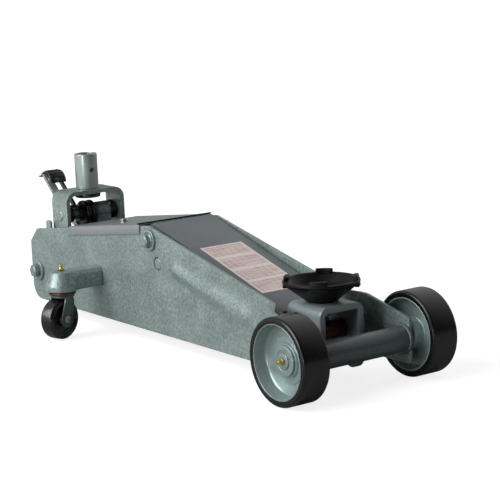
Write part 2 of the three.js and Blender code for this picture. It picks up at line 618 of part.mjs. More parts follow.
function handleYoke() {
  const { topZ, bottomZ, thickness, corner, halfLength, axisZ, shaft } = yoke;
  const bend = (half, top, radius, low) => {
    const shape = new THREE.Shape();
    shape.moveTo(-half, low);
    shape.lineTo(half, low);
    shape.absarc(half - radius, top - radius, radius, 0, Math.PI / 2, false);
    shape.absarc(radius - half, top - radius, radius, Math.PI / 2, Math.PI, false);
    return shape;
  };
  const inside = bend(yokeInner, topZ - thickness, corner - thickness, bottomZ - 1);
  return cut(
    extrudeX(bend(yokeHalf, topZ, corner, bottomZ), yokeX - halfLength, yokeX + halfLength),
    extrudeX(inside, yokeX - halfLength - 1, yokeX + halfLength + 1),
    rodY(shaft + touchGap, -yokeHalf - 1, yokeHalf + 1, yokeX, axisZ),
    rodZ(socket.spigot + runGap, topZ - 20, topZ + 1, yokeX, 0, 24));
}

function handleSocket() {
  const { radius, bore, topZ, floor, spigot, screwHole, screwZ } = socket;
  const seat = yoke.topZ + touchGap;
  const bottom = yoke.topZ - yoke.thickness - 0.1;
  const body = turned([
    [0, bottom], [spigot, bottom], [spigot, seat], [radius, seat], [radius, topZ - 1], [radius - 1, topZ],
    [bore + 1, topZ], [bore, topZ - 1], [bore, seat + floor], [0, seat + floor]], 28).rotateX(Math.PI / 2);
  return cut(body.translate(yokeX, 0, 0), rodX(screwHole, yokeX + 6, yokeX + radius + 2, 0, screwZ, 12));
}

function pumpLeverBody() {
  const { hub, roller, reach, low, high } = pumpLever;
  const web = block(yokeX - reach, yokeX, low, high, yoke.axisZ - roller + 2, yoke.axisZ + roller);
  return cut(
    join(rodY(hub, low, high, yokeX, yoke.axisZ, 28), rodY(roller, low, high, yokeX - reach, yoke.axisZ), web),
    rodY(yoke.shaft + touchGap, low - 1, high + 1, yokeX, yoke.axisZ));
}

function pumpPlunger() {
  const capTop = yoke.axisZ - pumpLever.roller - 0.5;
  return join(
    rodZ(plunger.radius, plunger.bottomZ, capTop - 1, plungerX, plungerY, 16),
    rodZ(plunger.cap, capTop - plunger.capThick, capTop, plungerX, plungerY, 20));
}

function plungerCoil() {
  const low = unit.topZ + touchGap + plungerSpring.wire;
  const high = yoke.axisZ - pumpLever.roller - 0.5 - plunger.capThick - touchGap - plungerSpring.wire;
  return coil(plungerSpring, low, high).rotateX(Math.PI / 2).translate(plungerX, plungerY, 0);
}

// Pedal pieces are laid out along the bar (u, rearwards and up from the yoke shaft) and across it (v).
function pedalPoint(u, v) {
  const lean = radians(pedal.angle);
  return [yokeX - u * Math.cos(lean) + v * Math.sin(lean), yoke.axisZ + u * Math.sin(lean) + v * Math.cos(lean)];
}

function pedalArm() {
  const { barLow, barHigh, hub, treadAlong, treadOffset } = pedal;
  const seat = pedal.treadRadius - pedal.treadWall - touchGap;
  const reach = (v) => treadAlong + Math.sqrt(seat ** 2 - (v - treadOffset) ** 2);
  const steps = [0, 0.25, 0.5, 0.75, 1].map((t) => barLow + t * (barHigh - barLow));
  const bars = [[nearLow, nearHigh], [farLow, farHigh]].flatMap(([low, high]) => [
    extrudeY(outline(pedalPoint(0, barHigh), pedalPoint(0, barLow),
      ...steps.map((v) => pedalPoint(reach(v), v))), low, high),
    rodY(hub, low, high, yokeX, yoke.axisZ)]);
  const [tieX, tieZ] = pedalPoint(treadAlong, (barLow + barHigh) / 2);
  return cut(
    join(...bars, rodY(pedal.tie, nearLow + 1, farHigh - 1, tieX, tieZ, 12)),
    rodY(yoke.shaft + runGap, nearLow - 1, farHigh + 1, yokeX, yoke.axisZ));
}

function pedalTread() {
  const [x, z] = pedalPoint(pedal.treadAlong, pedal.treadOffset);
  const shape = new THREE.Shape();
  shape.absarc(x, z, pedal.treadRadius, radians(pedal.treadFrom), radians(pedal.treadTo), false);
  shape.absarc(x, z, pedal.treadRadius - pedal.treadWall, radians(pedal.treadTo), radians(pedal.treadFrom), true);
  return extrudeY(shape, nearLow - pedal.overhang, farHigh + pedal.overhang, 12);
}

function buildHandle() {
  add('handle_yoke', handleYoke(), finish.frame);
  add('yoke_shaft', rodY(yoke.shaft, -yokeHalf - 1.5, yokeHalf + 1.5, yokeX, yoke.axisZ), finish.steel);
  add('pump_lever', pumpLeverBody(), finish.black);
  const { fromLug, fromYoke } = torsionSpring;
  const spring = coil(torsionSpring, lugHigh + fromLug, yokeInner - fromYoke).translate(yokeX, 0, yoke.axisZ);
  add('yoke_torsion_spring', spring, finish.bronze);
  add('handle_socket', handleSocket(), finish.grey);
  const discTop = yoke.topZ - yoke.thickness - socket.discGap;
  add('socket_retaining_disc', rodZ(socket.disc, discTop - socket.discThick, discTop, yokeX, 0, 28), finish.black);
  add('pump_plunger', pumpPlunger(), finish.steel);
  add('pump_plunger_spring', plungerCoil(), finish.steel);
  add('pedal_arm', pedalArm(), finish.grey);
  add('pedal_tread', pedalTread(), finish.black);

  const { radius, collar, collarThick, height, depth, y } = releaseScrew;
  const screwX = yokeX + releaseScrew.x;
  add('release_screw', join(
    rodZ(radius, unit.topZ - depth, unit.topZ + height, screwX, y, 16),
    rodZ(collar, unit.topZ + touchGap, unit.topZ + collarThick, screwX, y, 8)), finish.steel);
}

// ---------------------------------------------------------------- rear casters

function casterBracket(side) {
  const { cup, cupWall, cupBottomZ, cupTopZ, armHalf: base, armTopHalf, armTopZ, stem } = caster;
  const rise = cupTopZ - cupBottomZ;
  const dome = turned([
    [0, cupBottomZ], [cup, cupBottomZ], [cup, cupBottomZ + rise * 0.22], [cup * 0.9, cupBottomZ + rise * 0.5],
    [cup * 0.72, cupBottomZ + rise * 0.8], [cup * 0.5, cupTopZ - 1], [cup * 0.4, cupTopZ], [0, cupTopZ]], 32)
    .rotateX(Math.PI / 2).translate(casterX, side * casterY, 0);
  const section = (edge, top, low) => outline(
    [casterX - base + edge, low], [casterX + base - edge, low], [casterX + base - edge - 1, top - 8],
    [casterX + armTopHalf - edge, top], [casterX - armTopHalf + edge, top], [casterX - base + edge + 1, top - 8]);
  const beam = extrudeY(section(0, armTopZ, cupBottomZ), ...between(side, plate.rearHalf + touchGap, casterY - 8));
  const room = extrudeY(section(cupWall, armTopZ - cupWall, cupBottomZ - 1),
    ...between(side, plate.rearHalf + touchGap + cupWall, casterY - cup + 1));
  return cut(
    join(dome, beam), room,
    rodZ(cup - cupWall, cupBottomZ - 2, caster.bearingTopZ + 1, casterX, side * casterY, 28),
    rodZ(stem + runGap, cupBottomZ - 1, cupTopZ + 1, casterX, side * casterY));
}

// Caster pieces are drawn about the swivel axis with the wheel's axle along x, trailing along +y.
function casterFork() {
  const { legThick, legHalf, halfWidth, eye, crownBottomZ, crownRadius, trail, radius, stem, cupTopZ } = caster;
  const crownTop = caster.bearingBottomZ - touchGap;
  const inner = halfWidth + sideGap;
  const leg = outline([-legHalf, crownTop], [-legHalf, crownTop - 6], [trail - eye, radius], [trail + eye, radius],
    [legHalf, crownTop - 6], [legHalf, crownTop]);
  const legs = [-1, 1].map((side) => join(
    extrudeX(leg, ...between(side, inner, inner + legThick)),
    rodX(eye, ...between(side, inner, inner + legThick), trail, radius)));
  const bores = rodX(caster.axle + touchGap, -inner - legThick - 1, inner + legThick + 1, trail, radius, 16);
  const crown = rodZ(crownRadius, crownBottomZ, crownTop, 0, 0, 24);
  return cut(join(crown, rodZ(stem, crownTop - 1, cupTopZ + 0.5, 0, 0), ...legs), bores);
}

function casterWheel() {
  const { radius, halfWidth, axle } = caster;
  const bore = axle + runGap;
  const profile = [[bore, -halfWidth], [9, -halfWidth], [10, 3 - halfWidth], [radius - 8, 3 - halfWidth],
    [radius - 6, -halfWidth], [radius - 3, -halfWidth], [radius, 4 - halfWidth]];
  const mirrored = profile.map(([r, y]) => [r, -y]).reverse();
  return turned([...profile, ...mirrored, profile[0]], 28).rotateZ(-Math.PI / 2).translate(0, 0, radius);
}

function casterAxle() {
  const face = caster.halfWidth + sideGap + caster.legThick + touchGap;
  const head = rodX(caster.axleHead, face, face + caster.axleHeadThick, 0, caster.radius, 6);
  const nut = rodX(caster.axleHead, -face - caster.axleHeadThick, -face, 0, caster.radius, 6);
  return join(rodX(caster.axle, -face - 1, face + 1, 0, caster.radius, 16), head, nut);
}

function casterBearing() {
  const { bearing, bearingBottomZ, bearingTopZ, stem } = caster;
  return cut(rodZ(bearing, bearingBottomZ, bearingTopZ, 0, 0, 28),
    rodZ(stem + touchGap, bearingBottomZ - 1, bearingTopZ + 1, 0, 0));
}

function buildCasters() {
  for (const [name, side] of sides) {
    const turn = side > 0 ? radians(-caster.turn) : Math.PI + radians(caster.turn);
    const swivel = [casterX, side * casterY, 0];
    const wheelPlace = [casterX - caster.trail * Math.sin(turn), side * casterY + caster.trail * Math.cos(turn), 0];
    add(`caster_bracket_${name}`, casterBracket(side), finish.frame);
    add(`caster_fork_${name}`, casterFork(), finish.black, swivel, turn);
    add(`caster_bearing_${name}`, casterBearing(), finish.bronze, swivel, turn);
    add(`caster_wheel_${name}`, casterWheel(), finish.rubber, wheelPlace, turn);
    add(`caster_axle_${name}`, casterAxle(), finish.steel, wheelPlace, turn);
    const top = caster.cupTopZ + 0.5 + touchGap;
    add(`caster_nipple_${name}`, greaseNipple().rotateX(Math.PI / 2), finish.brass, [casterX, side * casterY, top]);
  }
}

buildFrame();
buildFrontWheels();
buildArm();
add('saddle', saddleDish(), finish.black);
add('saddle_bolt', saddleRetainer(), finish.steel);
buildHydraulics();
buildHandle();
buildCasters();

jack.position.x = -boxCentreX;

export default jack;
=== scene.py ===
"""Visible pieces, finishes, light and camera of a hydraulic trolley jack."""

import json
from math import acos, atan2, cos, hypot, pi, radians, sin, sqrt

import bmesh
import bpy
from mathutils import Matrix, Vector


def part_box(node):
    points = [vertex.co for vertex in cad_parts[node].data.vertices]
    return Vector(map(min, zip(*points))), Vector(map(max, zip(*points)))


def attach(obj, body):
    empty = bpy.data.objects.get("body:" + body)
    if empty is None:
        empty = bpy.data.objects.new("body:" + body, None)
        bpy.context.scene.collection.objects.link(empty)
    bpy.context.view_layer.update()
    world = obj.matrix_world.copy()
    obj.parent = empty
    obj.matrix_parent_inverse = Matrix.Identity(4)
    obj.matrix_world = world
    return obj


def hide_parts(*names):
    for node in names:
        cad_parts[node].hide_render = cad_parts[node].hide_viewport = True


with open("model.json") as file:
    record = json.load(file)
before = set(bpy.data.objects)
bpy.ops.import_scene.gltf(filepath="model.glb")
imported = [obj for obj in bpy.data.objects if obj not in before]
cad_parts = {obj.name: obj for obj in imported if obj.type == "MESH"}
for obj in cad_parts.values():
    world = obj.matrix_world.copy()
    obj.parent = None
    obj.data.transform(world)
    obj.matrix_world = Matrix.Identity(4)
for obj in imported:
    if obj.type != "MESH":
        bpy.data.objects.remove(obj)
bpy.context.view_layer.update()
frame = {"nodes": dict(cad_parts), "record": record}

MM = 0.001
SIDES = (("right", -1), ("left", 1))


# ---------------------------------------------------------------- camera

def aim_camera():
    """A long lens from ahead of the jack's right front wheel, a little above it; angles in radians,
    the place in metres."""
    yaw, pitch, roll = 2.5211689, -0.1824910, -0.0430350
    ahead = Vector((cos(pitch) * cos(yaw), cos(pitch) * sin(yaw), sin(pitch)))
    across = ahead.cross(Vector((0, 0, 1))).normalized()
    up = across.cross(ahead)
    right = cos(roll) * across + sin(roll) * up
    top = -sin(roll) * across + cos(roll) * up
    data = bpy.data.cameras.new("camera")
    data.sensor_width = 36
    data.lens = 120.53
    camera = bpy.data.objects.new("camera", data)
    bpy.context.scene.collection.objects.link(camera)
    place = Matrix((right, top, -ahead)).transposed().to_4x4()
    place.translation = Vector((1.87767, -1.26031, 0.54758))
    camera.matrix_world = place
    bpy.context.scene.camera = camera


aim_camera()


# ---------------------------------------------------------------- sizes, in millimetres from the front axle

def axle_x():
    """Where the front axle stands in the frame, from the box of a front tyre."""
    low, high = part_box("front_wheel_tyre_right")
    return (low.x + high.x) / 2 / MM


SHIFT = axle_x()

REAR_X, FRONT_X, BOTTOM_Z = -707.0, 18.6, 21.3
APEX_X, APEX_Z = -368.87, 170.0
FRONT_TOP_Z, REAR_TOP_Z = 79.8, 127.8
PLATE_HALF, PLATE_THICK, FLARE = 59.0, 4.0, 18.0
FRONT_HALF = PLATE_HALF + FLARE
BEND_REAR_X, BEND_FRONT_X = -90.0, -62.0
GAP = 0.3

WHEEL_R, WHEEL_IN, WHEEL_OUT, HUB_FACE = 55.0, 81.0, 121.0, 103.0
PIVOT_X, PIVOT_Z = APEX_X + 3.5, 150.5
NOSE_X, NOSE_Z = -58.0, 64.0
LINK_DX, LINK_DZ = 17.0, -31.0
ROD_PIN = (PIVOT_X + LINK_DX, PIVOT_Z + LINK_DZ)
LINK_PIN = (NOSE_X + LINK_DX, NOSE_Z + LINK_DZ)
ARM_HALF, ARM_THICK = 49.0, 6.0
ARM_TOP_REAR_Z, ARM_TOP_FRONT = 172.6, (-91.0, 89.9)
LEVER_R, LEVER_ANGLE, LEVER_IN, LEVER_OUT = 70.0, radians(-125), 15.4, 23.4
LEVER_X = PIVOT_X + LEVER_R * cos(LEVER_ANGLE)
LEVER_Z = PIVOT_Z + LEVER_R * sin(LEVER_ANGLE)
CRADLE_HALF, CRADLE_THICK, CRADLE_TOP = 34.5, 8.0, 102.0
CRADLE_REAR, CRADLE_FRONT = -90.0, -23.0
SADDLE_X, SADDLE_Z = -62.0, 102.3
YOKE_X, YOKE_Z, YOKE_HALF, YOKE_THICK, YOKE_TOP = -627.0, 154.6, 50.0, 6.0, 191.0
YOKE_PIN = (YOKE_X, 0, YOKE_Z)
UNIT_REAR, UNIT_FRONT = -698.0, -587.0
CYLINDER_FRONT, RAM_Z = PIVOT_X - 74.5, 87
CASTER_X, CASTER_Y, CASTER_R, CASTER_TRAIL = -512.8, 117.5, 29.0, 9.0


def plate_top(x):
    """Height of the side plates' top edge."""
    if x > APEX_X:
        return APEX_Z - (APEX_Z - FRONT_TOP_Z) * (x - APEX_X) / (FRONT_X - APEX_X)
    return APEX_Z - (APEX_Z - REAR_TOP_Z) * (APEX_X - x) / (APEX_X - REAR_X)


def arm_top(x):
    """Height of the lift arm's flat top."""
    fall = (ARM_TOP_REAR_Z - ARM_TOP_FRONT[1]) / (ARM_TOP_FRONT[0] - APEX_X)
    return ARM_TOP_REAR_Z - fall * (x - APEX_X)


# ---------------------------------------------------------------- finishes

def linear(hex_colour):
    """An sRGB hex colour as the linear colour that the shader wants."""
    values = [int(hex_colour[i:i + 2], 16) / 255 for i in (1, 3, 5)]
    return tuple(v / 12.92 if v <= 0.04045 else ((v + 0.055) / 1.055) ** 2.4 for v in values) + (1.0,)


def add(tree, kind, inputs=None, **settings):
    """Adds a node; each input is given a value, or the socket that feeds it."""
    made = tree.nodes.new(kind)
    for key, value in settings.items():
        setattr(made, key, value)
    for key, value in (inputs or {}).items():
        if isinstance(value, bpy.types.NodeSocket):
            tree.links.new(value, made.inputs[key])
        else:
            made.inputs[key].default_value = value
    return made


def new_finish(name, **shader_values):
    """An empty material with its Principled shader, whose even values sit on its own sockets."""
    material = bpy.data.materials.new(name)
    material.use_nodes = True
    tree = material.node_tree
    tree.nodes.clear()
    shader = add(tree, "ShaderNodeBsdfPrincipled",
                 {key.replace("_", " "): value for key, value in shader_values.items()})
    add(tree, "ShaderNodeOutputMaterial", {"Surface": shader.outputs[0]})
    place = add(tree, "ShaderNodeTexCoord").outputs["Object"]
    return material, tree, shader, place


def noise(tree, place, grain_mm, detail, **more):
    """Cloudy noise with grains of a real size."""
    return add(tree, "ShaderNodeTexNoise",
               {"Vector": place, "Scale": 1000 / grain_mm, "Detail": detail, **more}).outputs["Fac"]


def between(tree, factor, low, high):
    """A colour that goes from one to the other with the factor."""
    mixed = add(tree, "ShaderNodeMix", {0: factor, 6: linear(low), 7: linear(high)}, data_type="RGBA")
    return mixed.outputs[2]


def spread(tree, value, low, high):
    """A 0 to 1 value stretched to run from low to high."""
    return add(tree, "ShaderNodeMapRange", {"Value": value, "To Min": low, "To Max": high}).outputs[0]


def pitted(tree, shader, height, strength, depth_mm):
    """Presses a height pattern into the surface."""
    bump = add(tree, "ShaderNodeBump", {"Height": height, "Strength": strength, "Distance": depth_mm * MM})
    tree.links.new(bump.outputs[0], shader.inputs["Normal"])


def tinted(tree, shader, pattern, low, high):
    """Lets the colour follow a pattern."""
    tree.links.new(between(tree, pattern, low, high), shader.inputs["Base Color"])


def patchy(tree, shader, pattern, low, high):
    """Lets the roughness follow a pattern."""
    tree.links.new(spread(tree, pattern, low, high), shader.inputs["Roughness"])


def hammertone(name, dark, light, dimple_mm, depth_mm, roughness=0.36, metallic=0.35):
    """Hammertone enamel on sheet steel: aluminium flake floats in cells that shrink as they dry,
    so the surface is dimpled and each dimple glints a little lighter than its rim."""
    material, tree, shader, place = new_finish(name, Metallic=metallic, Coat_Weight=0.25,
                                               Coat_Roughness=0.22)
    cells = add(tree, "ShaderNodeTexVoronoi",
                {"Vector": place, "Scale": 1000 / dimple_mm, "Randomness": 0.9}, feature="SMOOTH_F1")
    cloud = noise(tree, place, 45, 3.0, Roughness=0.55)
    flake = noise(tree, place, 1.1, 2.0)
    blend = add(tree, "ShaderNodeMath", {0: cells.outputs["Distance"], 1: cloud}, operation="ADD")
    tint = add(tree, "ShaderNodeMath", {0: blend.outputs[0], 1: flake}, operation="ADD")
    even = add(tree, "ShaderNodeMapRange",
               {"Value": tint.outputs[0], "From Min": 0.9, "From Max": 1.9})
    tinted(tree, shader, even.outputs[0], dark, light)
    patchy(tree, shader, cells.outputs["Distance"], roughness - 0.06, roughness + 0.1)
    pitted(tree, shader, cells.outputs["Distance"], 0.5, depth_mm)
    return material


def stoved(name, dark, light, roughness, metallic=0.0, coat=0.2, grain_mm=2.4):
    """Sprayed and stoved enamel: an even coat with a faint orange-peel ripple and slow cloudiness."""
    material, tree, shader, place = new_finish(name, Metallic=metallic, Coat_Weight=coat,
                                               Coat_Roughness=0.2)
    cloud = noise(tree, place, 35, 4.0)
    peel = noise(tree, place, grain_mm, 1.0)
    tinted(tree, shader, cloud, dark, light)
    patchy(tree, shader, cloud, roughness - 0.08, roughness + 0.08)
    pitted(tree, shader, peel, 0.35, 0.03)
    return material


def cast_and_dipped(name):
    """A sand casting dipped in black paint: pitted skin, worn a little browner on its high spots."""
    material, tree, shader, place = new_finish(name, Specular_IOR_Level=0.2)
    sand = noise(tree, place, 1.8, 4.0, Roughness=0.6)
    wear = noise(tree, place, 12, 5.0, Roughness=0.7)
    rubbed = add(tree, "ShaderNodeMapRange",
                 {"Value": wear, "From Min": 0.45, "From Max": 0.75})
    tinted(tree, shader, rubbed.outputs[0], "#060405", "#0e0a0b")
    patchy(tree, shader, sand, 0.32, 0.55)
    pitted(tree, shader, sand, 0.6, 0.25)
    return material


def moulded(name, dark, light, roughness, coat):
    """Hard black polymer out of a polished mould: glossy, with fine scuffs that dull it in patches."""
    material, tree, shader, place = new_finish(name, IOR=1.5, Coat_Weight=coat, Coat_Roughness=0.08)
    scuff = noise(tree, place, 9, 6.0, Roughness=0.7)
    fine = noise(tree, place, 0.9, 2.0)
    tinted(tree, shader, scuff, dark, light)
    patchy(tree, shader, scuff, roughness - 0.08, roughness + 0.12)
    pitted(tree, shader, fine, 0.2, 0.02)
    return material


def bare_metal(name, dark, light, roughness, grain_mm):
    """Turned, plated or ground metal: its tool marks show as a fine grain in the roughness."""
    material, tree, shader, place = new_finish(name, Metallic=1.0)
    stain = noise(tree, place, 8, 4.0)
    grain = noise(tree, place, grain_mm, 2.0)
    tinted(tree, shader, stain, dark, light)
    patchy(tree, shader, grain, roughness - 0.1, roughness + 0.1)
    pitted(tree, shader, grain, 0.25, 0.02)
    return material


def printed_film(name):
    """Clear-coated paper label: pale pink, with rows of short faint dashes in place of print.
    The label's own map runs 0 to 1 across it and 0 to 2 along it, one unit being 68 mm, so a row is
    3 mm high and a dash 21 mm long, and a margin parts the rows into blocks."""
    white, grey, black = (1, 1, 1, 1), (0.35, 0.35, 0.35, 1), (0, 0, 0, 1)
    material, tree, shader, _ = new_finish(name, Roughness=0.38, Coat_Weight=0.4, Coat_Roughness=0.15)
    layout = add(tree, "ShaderNodeTexCoord").outputs["UV"]
    rows = add(tree, "ShaderNodeTexBrick", {
        "Vector": layout, "Scale": 1.0, "Color1": white, "Color2": grey, "Mortar": black,
        "Mortar Size": 0.012, "Mortar Smooth": 0.2, "Brick Width": 0.31, "Row Height": 0.044})
    margin = add(tree, "ShaderNodeTexBrick", {
        "Vector": layout, "Scale": 1.0, "Color1": white, "Color2": white, "Mortar": black,
        "Mortar Size": 0.05, "Mortar Smooth": 0.0, "Brick Width": 1.0, "Row Height": 0.5}, offset=0.0)
    inked = add(tree, "ShaderNodeMath", {0: rows.outputs["Color"], 1: margin.outputs["Color"]},
                operation="MULTIPLY")
    faint = add(tree, "ShaderNodeMath", {0: inked.outputs[0], 1: 0.95}, operation="MULTIPLY")
    tinted(tree, shader, faint.outputs[0], "#ddd0ca", "#9a4f4b")
    return material


def pale_paper(name):
    """Matt studio sweep paper, overlit so that it reads as plain white. It throws light back only where
    it lies well to the jack's right, from 0.35 m off and fully from 1.1 m."""
    material, tree, shader, place = new_finish(name, Roughness=0.9, Emission_Color=(1, 1, 1, 1))
    tone = add(tree, "ShaderNodeTexNoise", {"Vector": place, "Scale": 0.6})
    tinted(tree, shader, tone.outputs["Fac"], "#9b9b9a", "#9f9f9e")
    direct = add(tree, "ShaderNodeLightPath").outputs["Is Camera Ray"]
    across = add(tree, "ShaderNodeSeparateXYZ", {"Vector": place}).outputs["Y"]
    bright_side = add(tree, "ShaderNodeMapRange", {"Value": across, "From Min": -0.35, "From Max": -1.1,
                                                   "To Min": 0.0, "To Max": 0.8}).outputs[0]
    glow = add(tree, "ShaderNodeMath", {0: spread(tree, direct, 0.0, 0.82), 1: bright_side},
               operation="MAXIMUM")
    tree.links.new(glow.outputs[0], shader.inputs["Emission Strength"])
    return material


# Real dimples are about 2 mm across; they are drawn at nearly twice that, to show from 2 m away.
FRAME_ENAMEL = hammertone("hammertone_enamel", "#657572", "#9caca8", dimple_mm=3.8, depth_mm=0.8)
ARM_ENAMEL = hammertone("slate_hammertone_enamel", "#585d60", "#696e72", dimple_mm=3.8, depth_mm=0.25,
                        roughness=0.42, metallic=0.2)
WHEEL_ENAMEL = stoved("wheel_enamel", "#84948f", "#93a5a5", roughness=0.26, metallic=0.45, grain_mm=3.0)
# The frame's own paint drawn darker as painted shade, for the axle tube, its welds and fillets, and the
# caster forks.
FRAME_ENAMEL_PAINTED_SHADE = hammertone("frame_enamel_painted_shade", "#4d5658", "#5f686a", dimple_mm=3.0, depth_mm=0.15)
COVER_ENAMEL = stoved("grey_stoved_enamel", "#84898a", "#919697", roughness=0.36, metallic=0.3)
CRADLE_ENAMEL = stoved("cradle_stoved_enamel", "#7d8789", "#8c9698", roughness=0.34, metallic=0.2,
                       coat=0.3)
# The lid's grey paint drawn lighter for the handle socket: partly its own grey, partly painted highlight
# for the sheen on its lit side.
SOCKET_ENAMEL_PAINTED_HIGHLIGHT = stoved("socket_enamel_painted_highlight", "#929d9a", "#a9b3af", roughness=0.3, metallic=0.6, grain_mm=3.0)
BLACK_ENAMEL = stoved("black_stoved_enamel", "#0b0a0b", "#161415", roughness=0.33, coat=0.3)
SADDLE_CASTING = cast_and_dipped("black_dipped_casting")
TREAD = moulded("cast_polyurethane_tread", "#030202", "#080606", roughness=0.26, coat=0.12)
NYLON = moulded("moulded_black_nylon", "#080606", "#120e0f", roughness=0.26, coat=0.35)
ZINC = bare_metal("zinc_plated_steel", "#a9aeae", "#d3d6d5", roughness=0.3, grain_mm=0.5)
GROUND = bare_metal("ground_ram_steel", "#b9bcbe", "#dcdfe0", roughness=0.16, grain_mm=0.3)
BRASS = bare_metal("turned_brass", "#b7974f", "#e2cc90", roughness=0.22, grain_mm=0.4)
SPRING_STEEL = bare_metal("oil_darkened_spring_steel", "#2f2523", "#54413c", roughness=0.36, grain_mm=0.6)
BRONZE = bare_metal("bearing_bronze", "#5d3f37", "#86604f", roughness=0.36, grain_mm=0.5)
LABEL = printed_film("printed_label_film")

SLOTS = {
    FRAME_ENAMEL: "frame_paint", WHEEL_ENAMEL: "frame_paint", FRAME_ENAMEL_PAINTED_SHADE: "frame_paint",
    ARM_ENAMEL: "arm_paint", COVER_ENAMEL: "grey_paint", SOCKET_ENAMEL_PAINTED_HIGHLIGHT: "grey_paint",
    CRADLE_ENAMEL: "grey_paint", BLACK_ENAMEL: "black_paint", SADDLE_CASTING: "cast_black",
    TREAD: "tyre_polymer", NYLON: "caster_polymer", ZINC: "zinc_steel", GROUND: "ground_steel",
    BRASS: "brass", SPRING_STEEL: "bronze", BRONZE: "bronze", LABEL: "arm_paint",
}


# ---------------------------------------------------------------- outlines and solids

def rounded(points, radius, steps=5, closed=True):
    """The outline with its corners turned into arcs; a radius may be given for each corner."""
    count = len(points)
    result = []
    for i, corner in enumerate(points):
        r = radius[i] if isinstance(radius, (list, tuple)) else radius
        if r <= 0 or (not closed and i in (0, count - 1)):
            result.append(tuple(corner))
            continue
        here = Vector(corner)
        back = Vector(points[i - 1]) - here
        on = Vector(points[(i + 1) % count]) - here
        half = back.angle(on) / 2
        reach = min(r / max(sin(half) / cos(half), 1e-6), back.length * 0.49, on.length * 0.49)
        r = reach * sin(half) / cos(half)
        middle = here + (back.normalized() + on.normalized()).normalized() * (r / sin(half))
        start = here + back.normalized() * reach - middle
        end = here + on.normalized() * reach - middle
        turn = atan2(start.x * end.y - start.y * end.x, start.dot(end))
        first = atan2(start.y, start.x)
        for k in range(steps + 1):
            angle = first + turn * k / steps
            result.append((middle.x + r * cos(angle), middle.y + r * sin(angle)))
    return result


def arc(x, z, r, start, end, steps=16):
    """Points on a circle, angles in degrees."""
    return [(x + r * cos(radians(start + (end - start) * k / steps)),
             z + r * sin(radians(start + (end - start) * k / steps))) for k in range(steps + 1)]


def link_outline(x0, z0, r0, x1, z1, r1):
    """Two eyes joined by straight sides that touch both circles."""
    steps = 20
    along = atan2(z1 - z0, x1 - x0)
    lean = acos((r0 - r1) / hypot(x1 - x0, z1 - z0))
    rear = [along + lean + (2 * pi - 2 * lean) * k / steps for k in range(steps + 1)]
    front = [along - lean + 2 * lean * k / steps for k in range(steps + 1)]
    return ([(x0 + r0 * cos(a), z0 + r0 * sin(a)) for a in rear]
            + [(x1 + r1 * cos(a), z1 + r1 * sin(a)) for a in front])


def soften(solid, width, segments=3, angle=38):
    """Rounds the edges that are sharper than the angle."""
    if width > 0:
        sharp = [e for e in solid.edges if e.is_manifold and e.calc_face_angle(0) > radians(angle)]
        bmesh.ops.bevel(solid, geom=sharp, offset=width, segments=segments, profile=0.5, affect="EDGES",
                        clamp_overlap=True)
    return solid


def prism(outline, low, high, plane="xz", bevel=0.6):
    """An outline given a thickness: drawn in x and z it runs along y, in y and z along x,
    in x and y along z."""
    lift = {"xz": lambda a, b, t: (a, t, b), "yz": lambda a, b, t: (t, a, b),
            "xy": lambda a, b, t: (a, b, t)}[plane]
    solid = bmesh.new()
    ends = [[solid.verts.new(lift(a, b, t)) for a, b in outline] for t in (low, high)]
    solid.faces.new(ends[0])
    solid.faces.new(ends[1][::-1])
    for i in range(len(outline)):
        j = (i + 1) % len(outline)
        solid.faces.new((ends[0][i], ends[1][i], ends[1][j], ends[0][j]))
    bmesh.ops.remove_doubles(solid, verts=solid.verts, dist=1e-4)
    bmesh.ops.recalc_face_normals(solid, faces=solid.faces)
    return soften(solid, bevel)


def slotted(outer, inner, half):
    """A plate in x and z with a window through it, both outlines going round the same way."""
    solid = bmesh.new()
    loops = [[[solid.verts.new((x, y, z)) for x, z in line] for y in (-half, half)]
             for line in (outer, inner)]
    for k in range(2):
        edges = []
        for line in (loops[0][k], loops[1][k]):
            edges += [solid.edges.new((line[i], line[(i + 1) % len(line)])) for i in range(len(line))]
        bmesh.ops.triangle_fill(solid, use_beauty=True, edges=edges)
    for near, far in loops:
        for i in range(len(near)):
            j = (i + 1) % len(near)
            solid.faces.new((near[i], far[i], far[j], near[j]))
    bmesh.ops.recalc_face_normals(solid, faces=solid.faces)
    bmesh.ops.dissolve_limit(solid, angle_limit=radians(1), verts=solid.verts, edges=solid.edges)
    return soften(solid, 0.8)


def block(x0, x1, y0, y1, z0, z1, bevel=0.8):
    """A box with its edges rounded."""
    return prism([(x0, z0), (x1, z0), (x1, z1), (x0, z1)], y0, y1, bevel=bevel)


def turned(profile, axis="y", centre=(0, 0, 0), segments=64):
    """A closed profile of (radius, place along the axis) turned about that axis."""
    solid = bmesh.new()
    rings = []
    for k in range(segments):
        angle = 2 * pi * k / segments
        c, s = cos(angle), sin(angle)
        place = {"x": lambda r, t: (t, r * c, r * s), "y": lambda r, t: (r * c, t, r * s),
                 "z": lambda r, t: (r * c, r * s, t)}[axis]
        rings.append([solid.verts.new(place(r, t)) for r, t in profile])
    for k in range(segments):
        here, there = rings[k], rings[(k + 1) % segments]
        for i in range(len(profile)):
            j = (i + 1) % len(profile)
            if max(profile[i][0], profile[j][0]) > 1e-6:
                solid.faces.new((here[i], here[j], there[j], there[i]))
    bmesh.ops.remove_doubles(solid, verts=solid.verts, dist=1e-4)
    bmesh.ops.dissolve_degenerate(solid, edges=solid.edges, dist=1e-5)
    bmesh.ops.recalc_face_normals(solid, faces=solid.faces)
    bmesh.ops.translate(solid, verts=solid.verts, vec=centre)
    return solid


def rod(radius, low, high, axis, centre, chamfer=0.6, segments=48):
    """A plain shaft with chamfered ends."""
    return turned([(0, low), (radius - chamfer, low), (radius, low + chamfer), (radius, high - chamfer),
                   (radius - chamfer, high), (0, high)], axis, centre, segments)


